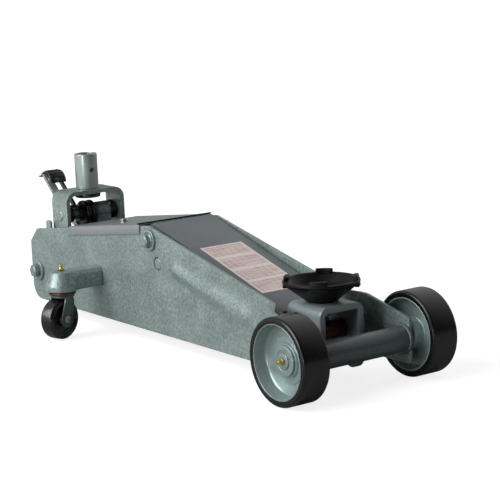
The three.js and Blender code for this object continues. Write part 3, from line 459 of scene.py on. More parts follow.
def ring(inner, outer, low, high, axis, centre, round_by=0.5):
    """A washer, collar or sleeve with rounded edges."""
    section = [(inner, low), (outer, low), (outer, high), (inner, high)]
    return turned(rounded(section, round_by, 3), axis, centre)


def hexagon(flat, low, high, axis, centre, bevel=0.7):
    """A bolt head or nut; flat is half its size across flats."""
    corner = flat / cos(pi / 6)
    points = [(corner * cos(pi / 3 * k), corner * sin(pi / 3 * k)) for k in range(6)]
    plane = {"x": "yz", "y": "xz", "z": "xy"}[axis]
    solid = prism(points, low, high, plane, bevel=bevel)
    bmesh.ops.translate(solid, verts=solid.verts, vec=centre)
    return solid


def moved(solid, matrix):
    """The solid itself, after a move."""
    bmesh.ops.transform(solid, matrix=matrix, verts=solid.verts)
    return solid


def bent_sheet(path, x_range, thick, rows=14, bevel=0.7):
    """A folded sheet: path is its outer line in y and z, seen end on, x_range gives its ends at each
    place, and the wall is thick towards the right-hand side of the path."""
    count = len(path)
    inner = []
    for i in range(count):
        back = Vector(path[max(i - 1, 0)])
        on = Vector(path[min(i + 1, count - 1)])
        along = (on - back).normalized()
        inner.append((path[i][0] + along.y * thick, path[i][1] - along.x * thick))
    solid = bmesh.new()
    grids = []
    for line in (path, inner):
        grid = []
        for i, (y, z) in enumerate(line):
            x0, x1 = x_range(path[i][0], path[i][1])
            grid.append([solid.verts.new((x0 + (x1 - x0) * k / rows, y, z)) for k in range(rows + 1)])
        grids.append(grid)
    outer, inside = grids
    for i in range(count - 1):
        for k in range(rows):
            solid.faces.new((outer[i][k], outer[i][k + 1], outer[i + 1][k + 1], outer[i + 1][k]))
            solid.faces.new((inside[i][k], inside[i + 1][k], inside[i + 1][k + 1], inside[i][k + 1]))
        for k in (0, rows):
            solid.faces.new((outer[i][k], outer[i + 1][k], inside[i + 1][k], inside[i][k]))
    for i in (0, count - 1):
        for k in range(rows):
            solid.faces.new((outer[i][k], inside[i][k], inside[i][k + 1], outer[i][k + 1]))
    bmesh.ops.remove_doubles(solid, verts=solid.verts, dist=1e-3)
    bmesh.ops.dissolve_degenerate(solid, edges=solid.edges, dist=1e-4)
    bmesh.ops.recalc_face_normals(solid, faces=solid.faces)
    return soften(solid, bevel, 2, 50)


def to_mesh(name, solids):
    """One mesh in metres, in the jack's frame, from solids drawn in millimetres from the front axle."""
    mesh = bpy.data.meshes.new(name)
    whole = bmesh.new()
    for solid in solids:
        part = bpy.data.meshes.new("part")
        solid.to_mesh(part)
        solid.free()
        whole.from_mesh(part)
        bpy.data.meshes.remove(part)
    bmesh.ops.translate(whole, verts=whole.verts, vec=(SHIFT, 0, 0))
    bmesh.ops.scale(whole, verts=whole.verts, vec=(MM, MM, MM))
    whole.to_mesh(mesh)
    whole.free()
    return mesh


def settle(name, mesh, material, body, nodes=(), smooth=38):
    """Hands a finished mesh over to the frame: its finish, what it rides on and what it stands for."""
    mesh.materials.clear()
    mesh.materials.append(material)
    mesh.polygons.foreach_set("use_smooth", [True] * len(mesh.polygons))
    mesh.set_sharp_from_angle(angle=radians(smooth))
    made = bpy.data.objects.new(name, mesh)
    bpy.context.scene.collection.objects.link(made)
    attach(made, body)
    if nodes:
        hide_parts(*nodes)
    return made


def make(name, solids, material, body, nodes=(), smooth=38):
    """One visible piece out of solids drawn in millimetres."""
    return settle(name, to_mesh(name, solids), material, body, nodes, smooth)


def held(name, mesh):
    """An object that only carries a mesh while it is worked on."""
    holder = bpy.data.objects.new(name, mesh)
    bpy.context.scene.collection.objects.link(holder)
    return holder


def plain(holder):
    """What a holder's modifiers make, as a plain mesh; the holder goes."""
    depsgraph = bpy.context.evaluated_depsgraph_get()
    result = bpy.data.meshes.new_from_object(holder.evaluated_get(depsgraph))
    bpy.data.objects.remove(holder)
    return result


def shaped(mesh, *modifiers):
    """The mesh after its modifiers."""
    holder = held("holder", mesh)
    for kind, settings in modifiers:
        modifier = holder.modifiers.new(kind.lower(), kind)
        for key, value in settings.items():
            setattr(modifier, key, value)
    return plain(holder)


# ---------------------------------------------------------------- frame

def plate_outline():
    """The side plate's outline, going round against the clock, seen from the jack's left."""
    rear_top = plate_top(REAR_X + 22)
    points = [(REAR_X, BOTTOM_Z), (FRONT_X, BOTTOM_Z), (FRONT_X, FRONT_TOP_Z), (APEX_X, APEX_Z),
              (REAR_X + 22, rear_top), (REAR_X, rear_top - 21)]
    return rounded(points, [23, 4, 5, 14, 7, 7], 6)


def drilled(mesh, bit):
    """The piece with a round hole where the bit went through."""
    drill = held("drill", to_mesh("drill", [bit]))
    result = shaped(mesh, ("BOOLEAN", {"object": drill, "operation": "DIFFERENCE", "solver": "EXACT"}))
    bpy.data.objects.remove(drill)
    return result


def between_faces(side, inner, outer):
    """Where a piece that is inner to outer from the jack's middle starts and stops, lower first."""
    return sorted((side * inner, side * outer))


def joggle(x):
    """How far the plate has stepped out towards the wheels."""
    t = min(max((x - BEND_REAR_X) / (BEND_FRONT_X - BEND_REAR_X), 0), 1)
    return FLARE * t * t * (3 - 2 * t)


def swage(x, z):
    """The pressed rib: a long teardrop that widens towards the front, 6 mm high at its rear end and
    with a longer, lower rise at its front."""
    x0, z0, r0 = APEX_X + 65, 117.0, 13.5
    x1, z1, r1 = BEND_REAR_X - 62, 79.0, 23.0
    length = hypot(x1 - x0, z1 - z0)
    ux, uz = (x1 - x0) / length, (z1 - z0) / length
    t = min(max(((x - x0) * ux + (z - z0) * uz) / length, 0), 1)
    inside = r0 + (r1 - r0) * t - hypot(x - x0 - ux * length * t, z - z0 - uz * length * t)
    rise = min(max(inside / (15 + 7 * t), 0), 1)
    return (6.0 - 1.2 * t) * rise * rise * (3 - 2 * rise)


def side_plate(name, side):
    """The pressed plate: a fine grid cut to the outline, stepped and ribbed, then given its wall."""
    sheet = bmesh.new()
    step = 3.0
    columns = int((FRONT_X - REAR_X) / step) + 2
    rows = int((APEX_Z - BOTTOM_Z) / step) + 2
    grid = [[sheet.verts.new((REAR_X - 1 + step * i, 0, BOTTOM_Z - 1 + step * j)) for j in range(rows)]
            for i in range(columns)]
    for i in range(columns - 1):
        for j in range(rows - 1):
            sheet.faces.new((grid[i][j], grid[i + 1][j], grid[i + 1][j + 1], grid[i][j + 1]))
    outline = plate_outline()
    for (x0, z0), (x1, z1) in zip(outline, outline[1:] + outline[:1]):
        if hypot(x1 - x0, z1 - z0) > 1e-3:
            everything = sheet.verts[:] + sheet.edges[:] + sheet.faces[:]
            bmesh.ops.bisect_plane(sheet, geom=everything, dist=1e-4, plane_co=(x0, 0, z0),
                                   plane_no=(z1 - z0, 0, x0 - x1), clear_outer=True)
    bmesh.ops.remove_doubles(sheet, verts=sheet.verts, dist=0.05)
    for v in sheet.verts:
        v.co.y = side * (PLATE_HALF + joggle(v.co.x) + swage(v.co.x, v.co.z))
    bmesh.ops.recalc_face_normals(sheet, faces=sheet.faces)
    if sum(f.normal.y for f in sheet.faces) * side < 0:
        bmesh.ops.reverse_faces(sheet, faces=sheet.faces)
    plate = shaped(to_mesh(name, [sheet]), ("SOLIDIFY", {"thickness": PLATE_THICK * MM, "offset": -1.0}))
    low, high = between_faces(side, PLATE_HALF - 9, PLATE_HALF + 7)
    plate = drilled(plate, rod(9.2, low, high, "y", (ROD_PIN[0], 0, ROD_PIN[1]), 0.1, 40))
    rear, front, foot, top = YOKE_X - 29, YOKE_X - 16, 128, 146.5
    ear = rounded([(rear, foot), (front, foot), (front, top), (rear, top)], [0, 0, 3, 3], 4)
    tab = prism(ear, *between_faces(side, PLATE_HALF - PLATE_THICK, PLATE_HALF - 0.2), bevel=0.6)
    make(f"{name}_stop_tab", [tab], FRAME_ENAMEL, "frame")
    plate = shaped(plate, ("BEVEL", {"width": 0.6 * MM, "segments": 2, "limit_method": "ANGLE",
                                     "angle_limit": radians(60)}))
    settle(name + "_pressing", plate, FRAME_ENAMEL, "frame", [name], smooth=50)


def rear_cover():
    """A folded lid: its flanges lie on the plates, and its bends have a small radius."""
    half = PLATE_HALF + GAP + 2
    back, front = YOKE_X + 44, APEX_X - 19
    path = rounded([(-half, -11), (-half, 2.3), (half, 2.3), (half, -11)], 3.2, 6, closed=False)
    sheet = bent_sheet(path, lambda *_: (0, 1), 2, rows=8, bevel=0)
    for v in sheet.verts:
        x = back + (front - back) * v.co.x
        v.co = (x, v.co.y, v.co.z + plate_top(x))
    make("rear_cover_folded", [soften(sheet, 0.4, 2, 50)], COVER_ENAMEL, "frame", ["rear_cover"])


def cover_front_shadow_strip():
    """A thin black strip along the lid's front end: painted shadow for the dark gap between the lid and the
    arm.
    """
    front = APEX_X - 19.3
    z = plate_top(front) + 2.2
    section = [(front - 4.5, z - 0.4), (front, z), (front, z + 2.0), (front - 4.5, z + 1.4)]
    # Painted shadow: a black strip stands in for the shaded gap ahead of the lid.
    make("cover_front_painted_shadow", [prism(section, -61.2, 61.2, bevel=0.4)], NYLON, "frame")


def new_tree(name, **inputs):
    """An empty tree with its named inputs, a finish, and the geometry that it gives back."""
    tree = bpy.data.node_groups.new(name, "GeometryNodeTree")
    for label, kind in {**inputs, "Finish": "Material"}.items():
        tree.interface.new_socket(label.replace("_", " "), in_out="INPUT",
                                  socket_type=f"NodeSocket{kind}")
    tree.interface.new_socket("Geometry", in_out="OUTPUT", socket_type="NodeSocketGeometry")
    return tree, add(tree, "NodeGroupInput").outputs


def finish_tree(tree, geometry, finish):
    """Real geometry with its finish, as the tree's result."""
    real = add(tree, "GeometryNodeRealizeInstances", {"Geometry": geometry})
    painted = add(tree, "GeometryNodeSetMaterial", {"Geometry": real.outputs[0], "Material": finish})
    add(tree, "NodeGroupOutput", {"Geometry": painted.outputs[0]})
    return tree


def ripple_tree():
    """Weld beads: overlapping flattened drops set round a circle."""
    tree, given = new_tree("weld_ripple", Radius="Float", Bead="Float", Count="Int")
    circle = add(tree, "GeometryNodeCurvePrimitiveCircle", {"Resolution": 96, "Radius": given["Radius"]})
    points = add(tree, "GeometryNodeCurveToPoints", {"Curve": circle.outputs[0], "Count": given["Count"]})
    drop = add(tree, "GeometryNodeMeshIcoSphere", {"Radius": given["Bead"], "Subdivisions": 2})
    size = add(tree, "FunctionNodeRandomValue",
               {"Min": (0.8, 0.8, 0.8), "Max": (1.2, 1.2, 1.1), "Seed": 7}, data_type="FLOAT_VECTOR")
    beads = add(tree, "GeometryNodeInstanceOnPoints", {
        "Points": points.outputs["Points"], "Instance": drop.outputs["Mesh"],
        "Rotation": points.outputs["Rotation"], "Scale": size.outputs["Value"]})
    return finish_tree(tree, beads.outputs[0], given["Finish"])


def coil_tree():
    """Spring wire wound round an upright axis."""
    tree, given = new_tree("wound_wire", Coil_radius="Float", Wire_radius="Float", Turns="Float",
                           Height="Float")
    spiral = add(tree, "GeometryNodeCurveSpiral", {
        "Resolution": 40, "Rotations": given["Turns"], "Start Radius": given["Coil radius"],
        "End Radius": given["Coil radius"], "Height": given["Height"]})
    section = add(tree, "GeometryNodeCurvePrimitiveCircle",
                  {"Resolution": 14, "Radius": given["Wire radius"]})
    wire = add(tree, "GeometryNodeCurveToMesh", {
        "Curve": spiral.outputs[0], "Profile Curve": section.outputs[0], "Fill Caps": True})
    return finish_tree(tree, wire.outputs[0], given["Finish"])


WELD_RIPPLE = ripple_tree()
WOUND_WIRE = coil_tree()


def grown(name, tree, values, material, body, place, nodes=()):
    """Runs a tree with its inputs in metres, moves the result into place and hands it over."""
    holder = held("holder", bpy.data.meshes.new("holder"))
    modifier = holder.modifiers.new("tree", "NODES")
    modifier.node_group = tree
    identifiers = {s.name: s.identifier for s in tree.interface.items_tree if s.in_out == "INPUT"}
    for key, value in {**values, "Finish": material}.items():
        modifier[identifiers[key]] = value
    mesh = plain(holder)
    mesh.transform(place)
    return settle(name, mesh, material, body, nodes, smooth=60)


def on_its_side(x, y, z):
    """A place in metres for something drawn about the origin, its axis turned from z to y."""
    return Matrix.Translation(((x + SHIFT) * MM, y * MM, z * MM)) @ Matrix.Rotation(radians(90), 4, "X")


def frame_pieces():
    """Plates, lid and the cross tube with a welded fillet at each end."""
    for name, side in SIDES:
        side_plate(f"side_plate_{name}", side)
    rear_cover()
    cover_front_shadow_strip()
    tube_x, tube_z, tube_r, bore = 5.9, WHEEL_R - 2.9, 16.8, 13.3
    half = FRONT_HALF - PLATE_THICK - GAP
    tube = turned([(bore, -half), (tube_r, -half), (tube_r, half), (bore, half)], "y",
                  (tube_x, 0, tube_z), 72)
    # The tube, its weld beads and fillets take the darker copy of the frame's paint: painted shade.
    make("axle_tube_drawn", [tube], FRAME_ENAMEL_PAINTED_SHADE, "frame", ["front_axle_tube"])
    for name, side in SIDES:
        grown(f"axle_tube_weld_{name}", WELD_RIPPLE,
              {"Radius": (tube_r + 0.6) * MM, "Bead": 2.6 * MM, "Count": 46}, FRAME_ENAMEL_PAINTED_SHADE, "frame",
              on_its_side(tube_x, side * (half - 1.4), tube_z))
    for name, side in SIDES:
        section = [(tube_r - 0.5, 0), (tube_r + 3.6, 0), (tube_r + 1.2, 1.6), (tube_r - 0.5, 3.4)]
        fillet = turned(rounded(section, 0.8, 3), "y", (0, 0, 0), 72)
        if side > 0:
            fillet = moved(fillet, Matrix.Rotation(pi, 4, "Z"))
        fillet = moved(fillet, Matrix.Translation((tube_x, side * half, tube_z)))
        make(f"axle_tube_fillet_{name}", [fillet], FRAME_ENAMEL_PAINTED_SHADE, "frame")


# ---------------------------------------------------------------- front wheels

def grease_nipple(name, material, body, node, place):
    """A small grease nipple: hexagon, waist and ball head, drawn standing along z."""
    neck = rounded([(0, 1.5), (3.1, 1.5), (3.1, 2.9), (1.9, 4.6), (1.9, 5.4), (2.7, 6.4), (2.4, 7.4),
                    (0.9, 7.9), (0, 7.9)], [0, 0, .3, .4, .4, .5, .4, .2, 0], 4)
    solids = [hexagon(3.9, 0, 2.4, "z", (0, 0, 0), 0.35), turned(neck, "z", (0, 0, 0), 32)]
    for solid in solids:
        moved(solid, place)
    make(name, solids, material, body, [node])


def front_wheel(name, side):
    """Pressed dish of a wheel inside a thick glossy tread."""
    flip = Matrix.Translation((0, 0, WHEEL_R)) @ Matrix.Rotation(0 if side > 0 else pi, 4, "Z")
    seat = 47.3
    tread = rounded([
        (seat, WHEEL_IN), (52.8, WHEEL_IN), (WHEEL_R, WHEEL_IN + 2.6), (WHEEL_R, WHEEL_OUT - 3.2),
        (54.2, WHEEL_OUT - 0.9), (52.2, WHEEL_OUT), (seat, WHEEL_OUT)],
        [.5, 2, 2.4, 3, 1.6, 1.8, .6], 5)
    make(f"front_tread_{name}", [moved(turned(tread, segments=128), flip)], TREAD, f"wheel_{name}",
         [f"front_wheel_tyre_{name}"])
    dish = rounded([
        (10.3, WHEEL_IN + 0.5), (18, WHEEL_IN + 0.5), (20, WHEEL_IN + 3), (20, WHEEL_IN + 15),
        (42.5, WHEEL_IN + 15), (45.2, WHEEL_IN + 0.5), (47, WHEEL_IN + 0.5), (47, WHEEL_OUT - 0.5),
        (45.6, WHEEL_OUT - 0.5), (43.2, HUB_FACE), (30, HUB_FACE), (29.4, HUB_FACE + 1.1),
        (22.4, HUB_FACE + 1.1), (21.6, HUB_FACE + 3.9), (10.3, HUB_FACE + 3.9)],
        [.4, 1, 1, 2, 4, .5, .5, .6, .8, 4.5, .5, .5, .6, .8, .3], 5)
    make(f"front_dish_{name}", [moved(turned(dish, segments=128), flip)], WHEEL_ENAMEL, f"wheel_{name}",
         [f"front_wheel_hub_{name}"])
    washer = rounded([
        (10.2, HUB_FACE + 4.4), (19, HUB_FACE + 4.4), (19, HUB_FACE + 6.9), (13.6, HUB_FACE + 6.9),
        (13.2, HUB_FACE + 6.2), (10.2, HUB_FACE + 6.2)], [.2, .4, .7, .3, .3, .2], 3)
    make(f"hub_cap_washer_{name}", [moved(turned(washer, segments=96), flip)], WHEEL_ENAMEL, "frame",
         [f"hub_washer_{name}"])
    stub = rounded([
        (0, FRONT_HALF - 4), (10, FRONT_HALF - 4), (10, FRONT_HALF + GAP), (15, FRONT_HALF + GAP),
        (15, WHEEL_IN - 0.5), (10, WHEEL_IN - 0.5), (10, HUB_FACE + 8), (0, HUB_FACE + 8)],
        [0, .3, 0, .5, .5, 0, .9, 0], 3)
    make(f"wheel_stub_{name}", [moved(turned(stub, segments=64), flip)], WHEEL_ENAMEL, "frame",
         [f"wheel_spindle_{name}"])
    place = flip @ Matrix.Translation((0, HUB_FACE + 8.3, 0)) @ Matrix.Rotation(-pi / 2, 4, "X")
    grease_nipple(f"hub_grease_nipple_{name}", BRASS, "frame", f"hub_nipple_{name}", place)


# ---------------------------------------------------------------- lift arm, rods, cradle and saddle

def cheek_outline():
    """The arm's side: an eye at each end, and a lower edge that steps down ahead of the rods' pin."""
    pin_x, pin_z = ROD_PIN
    rear_eye, nose_eye = 21.8, 20
    points = [(ARM_TOP_FRONT[0], arm_top(ARM_TOP_FRONT[0])), (APEX_X, ARM_TOP_REAR_Z)]
    points += arc(PIVOT_X, PIVOT_Z, rear_eye, 100, 270, 20)
    points += [(pin_x + 3, pin_z + 10.5), (pin_x + 14, pin_z + 0.5)]
    return points + arc(NOSE_X, NOSE_Z, nose_eye, -106, 80, 22)


def lift_arm():
    """A welded box, open below: two cheeks, a flat top, the pivot's boss and two levers under it."""
    front = ARM_TOP_FRONT[0]
    cheeks = [prism(cheek_outline(), *between_faces(side, ARM_HALF - ARM_THICK, ARM_HALF), bevel=0.9)
              for _, side in SIDES]
    sheet = [(APEX_X, arm_top(APEX_X) - 6.2), (front, arm_top(front) - 6.2),
             (front, arm_top(front) + 0.02), (APEX_X, arm_top(APEX_X) + 0.02)]
    top = prism(sheet, 0.9 - ARM_HALF, ARM_HALF - 0.9, bevel=0.5)
    outline = link_outline(PIVOT_X, PIVOT_Z, 19, LEVER_X, LEVER_Z, 14)
    levers = [prism(outline, *between_faces(side, LEVER_IN, LEVER_OUT), bevel=0.8) for _, side in SIDES]
    bore, wall, half = 10.4, 13.5, 43.5
    boss = turned([(bore, -half), (wall, -half), (wall, half), (bore, half)], "y",
                  (PIVOT_X, 0, PIVOT_Z), 48)
    make("lift_arm_fabricated", [*cheeks, top, *levers, boss], ARM_ENAMEL, "arm", ["lift_arm"])


def arm_label():
    """A thin film on the arm's flat top, mapped 0 to 1 across and 0 to 2 along."""
    rear, front, half, lift = -279.6, -141.5, 33.8, 0.12
    sheet = bmesh.new()
    layer = sheet.loops.layers.uv.new("layout")
    places = [(rear, -half, 0, 0), (front, -half, 0, 2), (front, half, 1, 2), (rear, half, 1, 0)]
    corners = [sheet.verts.new((x, y, arm_top(x) + lift)) for x, y, _, _ in places]
    face = sheet.faces.new(corners)
    for loop, (_, _, u, v) in zip(face.loops, places):
        loop[layer].uv = (u, v)
    under = [sheet.verts.new((x, y, arm_top(x) + 0.02)) for x, y, _, _ in places]
    sheet.faces.new(under[::-1])
    for i in range(4):
        j = (i + 1) % 4
        sheet.faces.new((corners[i], under[i], under[j], corners[j]))
    make("arm_label", [sheet], LABEL, "arm")


def radius_rods():
    """Flat forged rods inside the arm that keep the saddle level, and the pins they hang on."""
    outer, thick, eye = ARM_HALF - ARM_THICK - 1.3, 6, 13
    for name, side in SIDES:
        low, high = between_faces(side, outer - thick, outer)
        bar = prism(link_outline(*ROD_PIN, 8, *LINK_PIN, 8), low, high, bevel=1.0)
        eyes = [ring(bore, eye, low, high, "y", (x, 0, z), 0.8)
                for (x, z), bore in ((ROD_PIN, 8.3), (LINK_PIN, 6.3))]
        make(f"radius_rod_forged_{name}", [bar, *eyes], BLACK_ENAMEL, "rods", [f"radius_rod_{name}"])
        ends = between_faces(side, outer - thick - GAP, PLATE_HALF - GAP)
        make(f"rod_pin_{name}", [rod(8, *ends, "y", (ROD_PIN[0], 0, ROD_PIN[1]), 0.9)], FRAME_ENAMEL,
             "frame", [f"radius_rod_pin_{name}"])


def saddle_cradle():
    """Bent plate carrying the saddle: its cheeks narrow down to the eyes of the link pin."""
    pin_x, pin_z = LINK_PIN
    eye, corner = 18, 12.0
    bottom, top = pin_z - eye, CRADLE_TOP

    def ends(_, z):
        """Where the cheek starts and stops at a height."""
        z = min(max(z, bottom + 0.15), top)
        drop = sqrt(max(eye ** 2 - (z - pin_z) ** 2, 0)) if z < pin_z + 12 else 13
        front = min(pin_x + drop, CRADLE_FRONT) if z < pin_z + 9 else CRADLE_FRONT
        if z < pin_z + 3:
            return pin_x - drop, front
        knee_x, knee_z = NOSE_X - 15, NOSE_Z - 10
        start_x, start_z = pin_x - 17.7, pin_z + 3
        if z < knee_z:
            t = (z - start_z) / (knee_z - start_z)
            return start_x + (knee_x - start_x) * t, front
        t = min((z - knee_z) / (top - 16 - knee_z), 1)
        return knee_x + (CRADLE_REAR - knee_x) * t, front

    up = [(-CRADLE_HALF, bottom + 0.15 + (top - corner - bottom - 0.15) * k / 44) for k in range(45)]
    left = arc(corner - CRADLE_HALF, top - corner, corner, 180, 90, 12)[1:]
    right = arc(CRADLE_HALF - corner, top - corner, corner, 90, 0, 12)
    down = [(-y, z) for y, z in reversed(up)][1:]
    sheet = bent_sheet(up + left + right + down, ends, CRADLE_THICK, rows=12, bevel=1.1)
    make("saddle_cradle_bent", [sheet], CRADLE_ENAMEL, "cradle", ["saddle_cradle"])


def saddle():
    """A cast dish with four lugs round its rim."""
    z = SADDLE_Z
    dish = rounded([
        (0, z - 8), (12, z - 8), (12, z), (20, z), (23, z + 3), (36, z + 13), (47.5, z + 22), (49, z + 24),
        (49, z + 27.2), (44, z + 27.2), (33, z + 16), (22, z + 9), (0, z + 9)],
        [0, .6, 0, 1.5, 3, 5, 4, 1, 1.6, 1.8, 6, 6, 0], 5)
    solids = [turned(dish, "z", (SADDLE_X, 0, 0), 128)]
    for middle in (47, 137, 227, 317):
        start, end = middle - 14, middle + 14
        outline = arc(0, 0, 48.9, start, end, 10) + arc(0, 0, 42.5, end, start, 10)
        lug = prism(outline, z + 18, z + 32.2, "xy", bevel=0)
        for v in lug.verts:
            if v.co.z > z + 30:
                v.co.x *= 0.965
                v.co.y *= 0.965
        soften(lug, 1.3, 3)
        solids.append(moved(lug, Matrix.Translation((SADDLE_X, 0, 0))))
    make("saddle_casting", solids, SADDLE_CASTING, "saddle", ["saddle"], smooth=50)
    under, middle = CRADLE_TOP - CRADLE_THICK - GAP, (SADDLE_X, 0, 0)
    make("saddle_retaining_bolt", [ring(1, 16, under - 3, under, "z", middle),
                                   hexagon(8.6, under - 10.8, under - 3, "z", middle)],
         ZINC, "saddle", ["saddle_bolt"])


def bolted(name, x, z, flat, thick, radius):
    """A cross bolt through both plates: hexagon head, washers and nut."""
    washer, washer_thick, centre = 15, 3, (x, 0, z)
    face = PLATE_HALF + GAP
    seat = face + washer_thick + 0.3
    make(f"{name}_bolt_forged", [rod(radius, -seat - 0.5, seat + thick + 1.2, "y", centre, 0.9),
                                 hexagon(flat, -seat - thick, -seat, "y", centre, 1.0),
                                 rod(flat * 0.8, -seat - thick - 0.5, -seat - thick + 1, "y", centre, 0.4)],
         WHEEL_ENAMEL, "frame", [f"{name}_bolt"])
    make(f"{name}_nut_forged", [hexagon(max(flat, radius + 2), seat + GAP, seat + thick, "y", centre, 1.0)],
         WHEEL_ENAMEL, "frame", [f"{name}_nut"])
    for side_name, side in SIDES:
        low, high = between_faces(side, face, face + washer_thick)
        make(f"{name}_washer_turned_{side_name}", [ring(radius + GAP, washer, low, high, "y", centre, 0.9)],
             WHEEL_ENAMEL, "frame", [f"{name}_washer_{side_name}"])


def arm_pieces():
    """The arm with all it carries, its pins, and the two long bolts across the frame."""
    nose, link = (NOSE_X, 0, NOSE_Z), (LINK_PIN[0], 0, LINK_PIN[1])
    lift_arm()
    arm_label()
    radius_rods()
    saddle_cradle()
    saddle()
    make("cradle_cross_pin", [rod(9, -50, 50, "y", nose, 1.2)], ZINC, "arm", ["cradle_pin"])
    make("cradle_sleeve", [ring(9.3, 12.5, -26.2, 26.2, "y", nose, 0.5)], BRONZE, "cradle",
         ["cradle_pin_sleeve"])
    make("lever_cross_pin", [rod(8, -LEVER_OUT - 2, LEVER_OUT + 2, "y", (LEVER_X, 0, LEVER_Z), 1.0)],
         ZINC, "arm", ["lever_pin"])
    make("cradle_link_bar", [rod(6, -42.5, 42.5, "y", link, 0.8)], ZINC, "cradle", ["cradle_link_pin"])
    bolted("arm_pivot", PIVOT_X, PIVOT_Z, flat=8.6, thick=7, radius=10)
    bolted("rear_cross", -686.6, 65.7, flat=8.5, thick=8, radius=8)


# ---------------------------------------------------------------- hydraulic unit

def ram():
    """The ram's rod, and its slotted head that the levers' pin works in."""
    pin_low, radius, slot_half, play = PIVOT_Z - LEVER_R, 15, 9.4, 0.5
    low, high = pin_low - radius, LEVER_Z + radius
    rear, front = LEVER_X - 15.5, LEVER_X + 15.5
    head = rounded([(rear, low), (front, low), (front, high), (rear, high)], 5, 6)
    window = (arc(LEVER_X, LEVER_Z + play, slot_half, 0, 180, 20)
              + arc(LEVER_X, pin_low - play, slot_half, 180, 360, 20))
    make("ram_rod", [rod(radius, UNIT_FRONT + 12, rear + 1, "x", (0, 0, RAM_Z), 1.0),
                     slotted(head, window, 14.6)], GROUND, "ram", ["ram_piston"])


def hydraulic_pieces():
    """The cast unit with the yoke's lug, the ram and its barrel, and the plugs and screws on top."""
    half, floor, top, deck = 48.0, 30, 88, 130
    lug_low, lug_high, head, shelf = 7.0, 31.0, 12, 34
    foot, eye = RAM_Z, 12
    post = prism([(YOKE_X - 9, foot), (YOKE_X + 27, foot), (YOKE_X + eye, YOKE_Z), (YOKE_X - eye, YOKE_Z)],
                 lug_low, lug_high, bevel=1.2)
    solids = [
        block(UNIT_REAR, UNIT_FRONT, -half, half, floor, top, 2.0),
        block(UNIT_FRONT - head, UNIT_FRONT, -half, half, floor, deck, 1.2),
        block(UNIT_FRONT - head, UNIT_FRONT + shelf, -half, half, deck - 6, deck, 1.2),
        post, ring(8.3, 14, lug_low, lug_high, "y", YOKE_PIN, 0.8)]
    make("power_unit_casting", solids, FRAME_ENAMEL, "frame", ["power_unit"])
    bore, wall, rear = 15.4, 30, UNIT_FRONT + GAP
    barrel = rounded([(bore, rear), (wall, rear), (wall, CYLINDER_FRONT), (bore, CYLINDER_FRONT)],
                     [0, 1, 2, 1], 4)
    make("ram_barrel", [turned(barrel, "x", (0, 0, RAM_Z), 72),
                        hexagon(30.5, CYLINDER_FRONT - 14, CYLINDER_FRONT - 4, "x", (0, 0, RAM_Z), 1.2)],
         BLACK_ENAMEL, "frame", ["ram_cylinder"])
    ram()
    plugs = ((UNIT_FRONT - 7, -33.5, 12), (UNIT_FRONT + 20, 34, 5), (UNIT_FRONT + 20, -20, 5))
    for index, (x, y, height) in enumerate(plugs):
        make(f"valve_plug_{index}", [hexagon(4.2, deck + height - 5, deck + height, "z", (x, y, 0), 0.7),
                                     rod(3.4, deck - 1, deck + height + 1.4, "z", (x, y, 0), 0.6)],
             ZINC, "frame")
    lid_x, lid_y = -486, -24
    slope = (Matrix.Translation((lid_x, lid_y, plate_top(lid_x) + 2.2))
             @ Matrix.Rotation(-radians(7.1), 4, "Y"))
    make("cover_screw", [moved(s, slope) for s in (ring(1, 6.5, 0, 1, "z", (0, 0, 0), 0.4),
                                                   hexagon(5, 1, 5.5, "z", (0, 0, 0), 0.8))], ZINC, "frame")
    screw = (YOKE_X + 11, -28, 0)
    make("release_screw_turned", [rod(5, 70, 104, "z", screw, 0.8),
                                  ring(3, 9, 88.3, 93, "z", screw, 0.8)], ZINC, "screw", ["release_screw"])


# ---------------------------------------------------------------- yoke, pump, handle socket and pedal

def handle_yoke():
    """Bent strap that straddles the shaft, its legs rounded at the bottom."""
    half, top, bottom, corner, reach, toe = YOKE_HALF, YOKE_TOP, 126.0, 16.0, 22.0, 6

    def ends(_, z):
        """Where the strap starts and stops at a height: its toes are rounded."""
        low = z - bottom
        cut = toe - sqrt(max(toe ** 2 - (toe - low) ** 2, 0)) if low < toe else 0
        return YOKE_X - reach + cut, YOKE_X + reach - cut

    up = [(-half, bottom + 7 * (k / 10) ** 1.6) for k in range(11)]
    up += [(-half, bottom + 14), (-half, top - corner)]
    left = arc(corner - half, top - corner, corner, 180, 90, 12)[1:]
    right = arc(half - corner, top - corner, corner, 90, 0, 12)
    down = [(-y, z) for y, z in reversed(up)][1:]
    sheet = bent_sheet(up + left + right + down, ends, YOKE_THICK, rows=10, bevel=0.9)
    make("handle_yoke_bent", [sheet], FRAME_ENAMEL, "yoke", ["handle_yoke"])
    make("yoke_cross_shaft", [rod(8, -51.4, 51.4, "y", YOKE_PIN, 0.9)], WHEEL_ENAMEL, "yoke",
         ["yoke_shaft"])


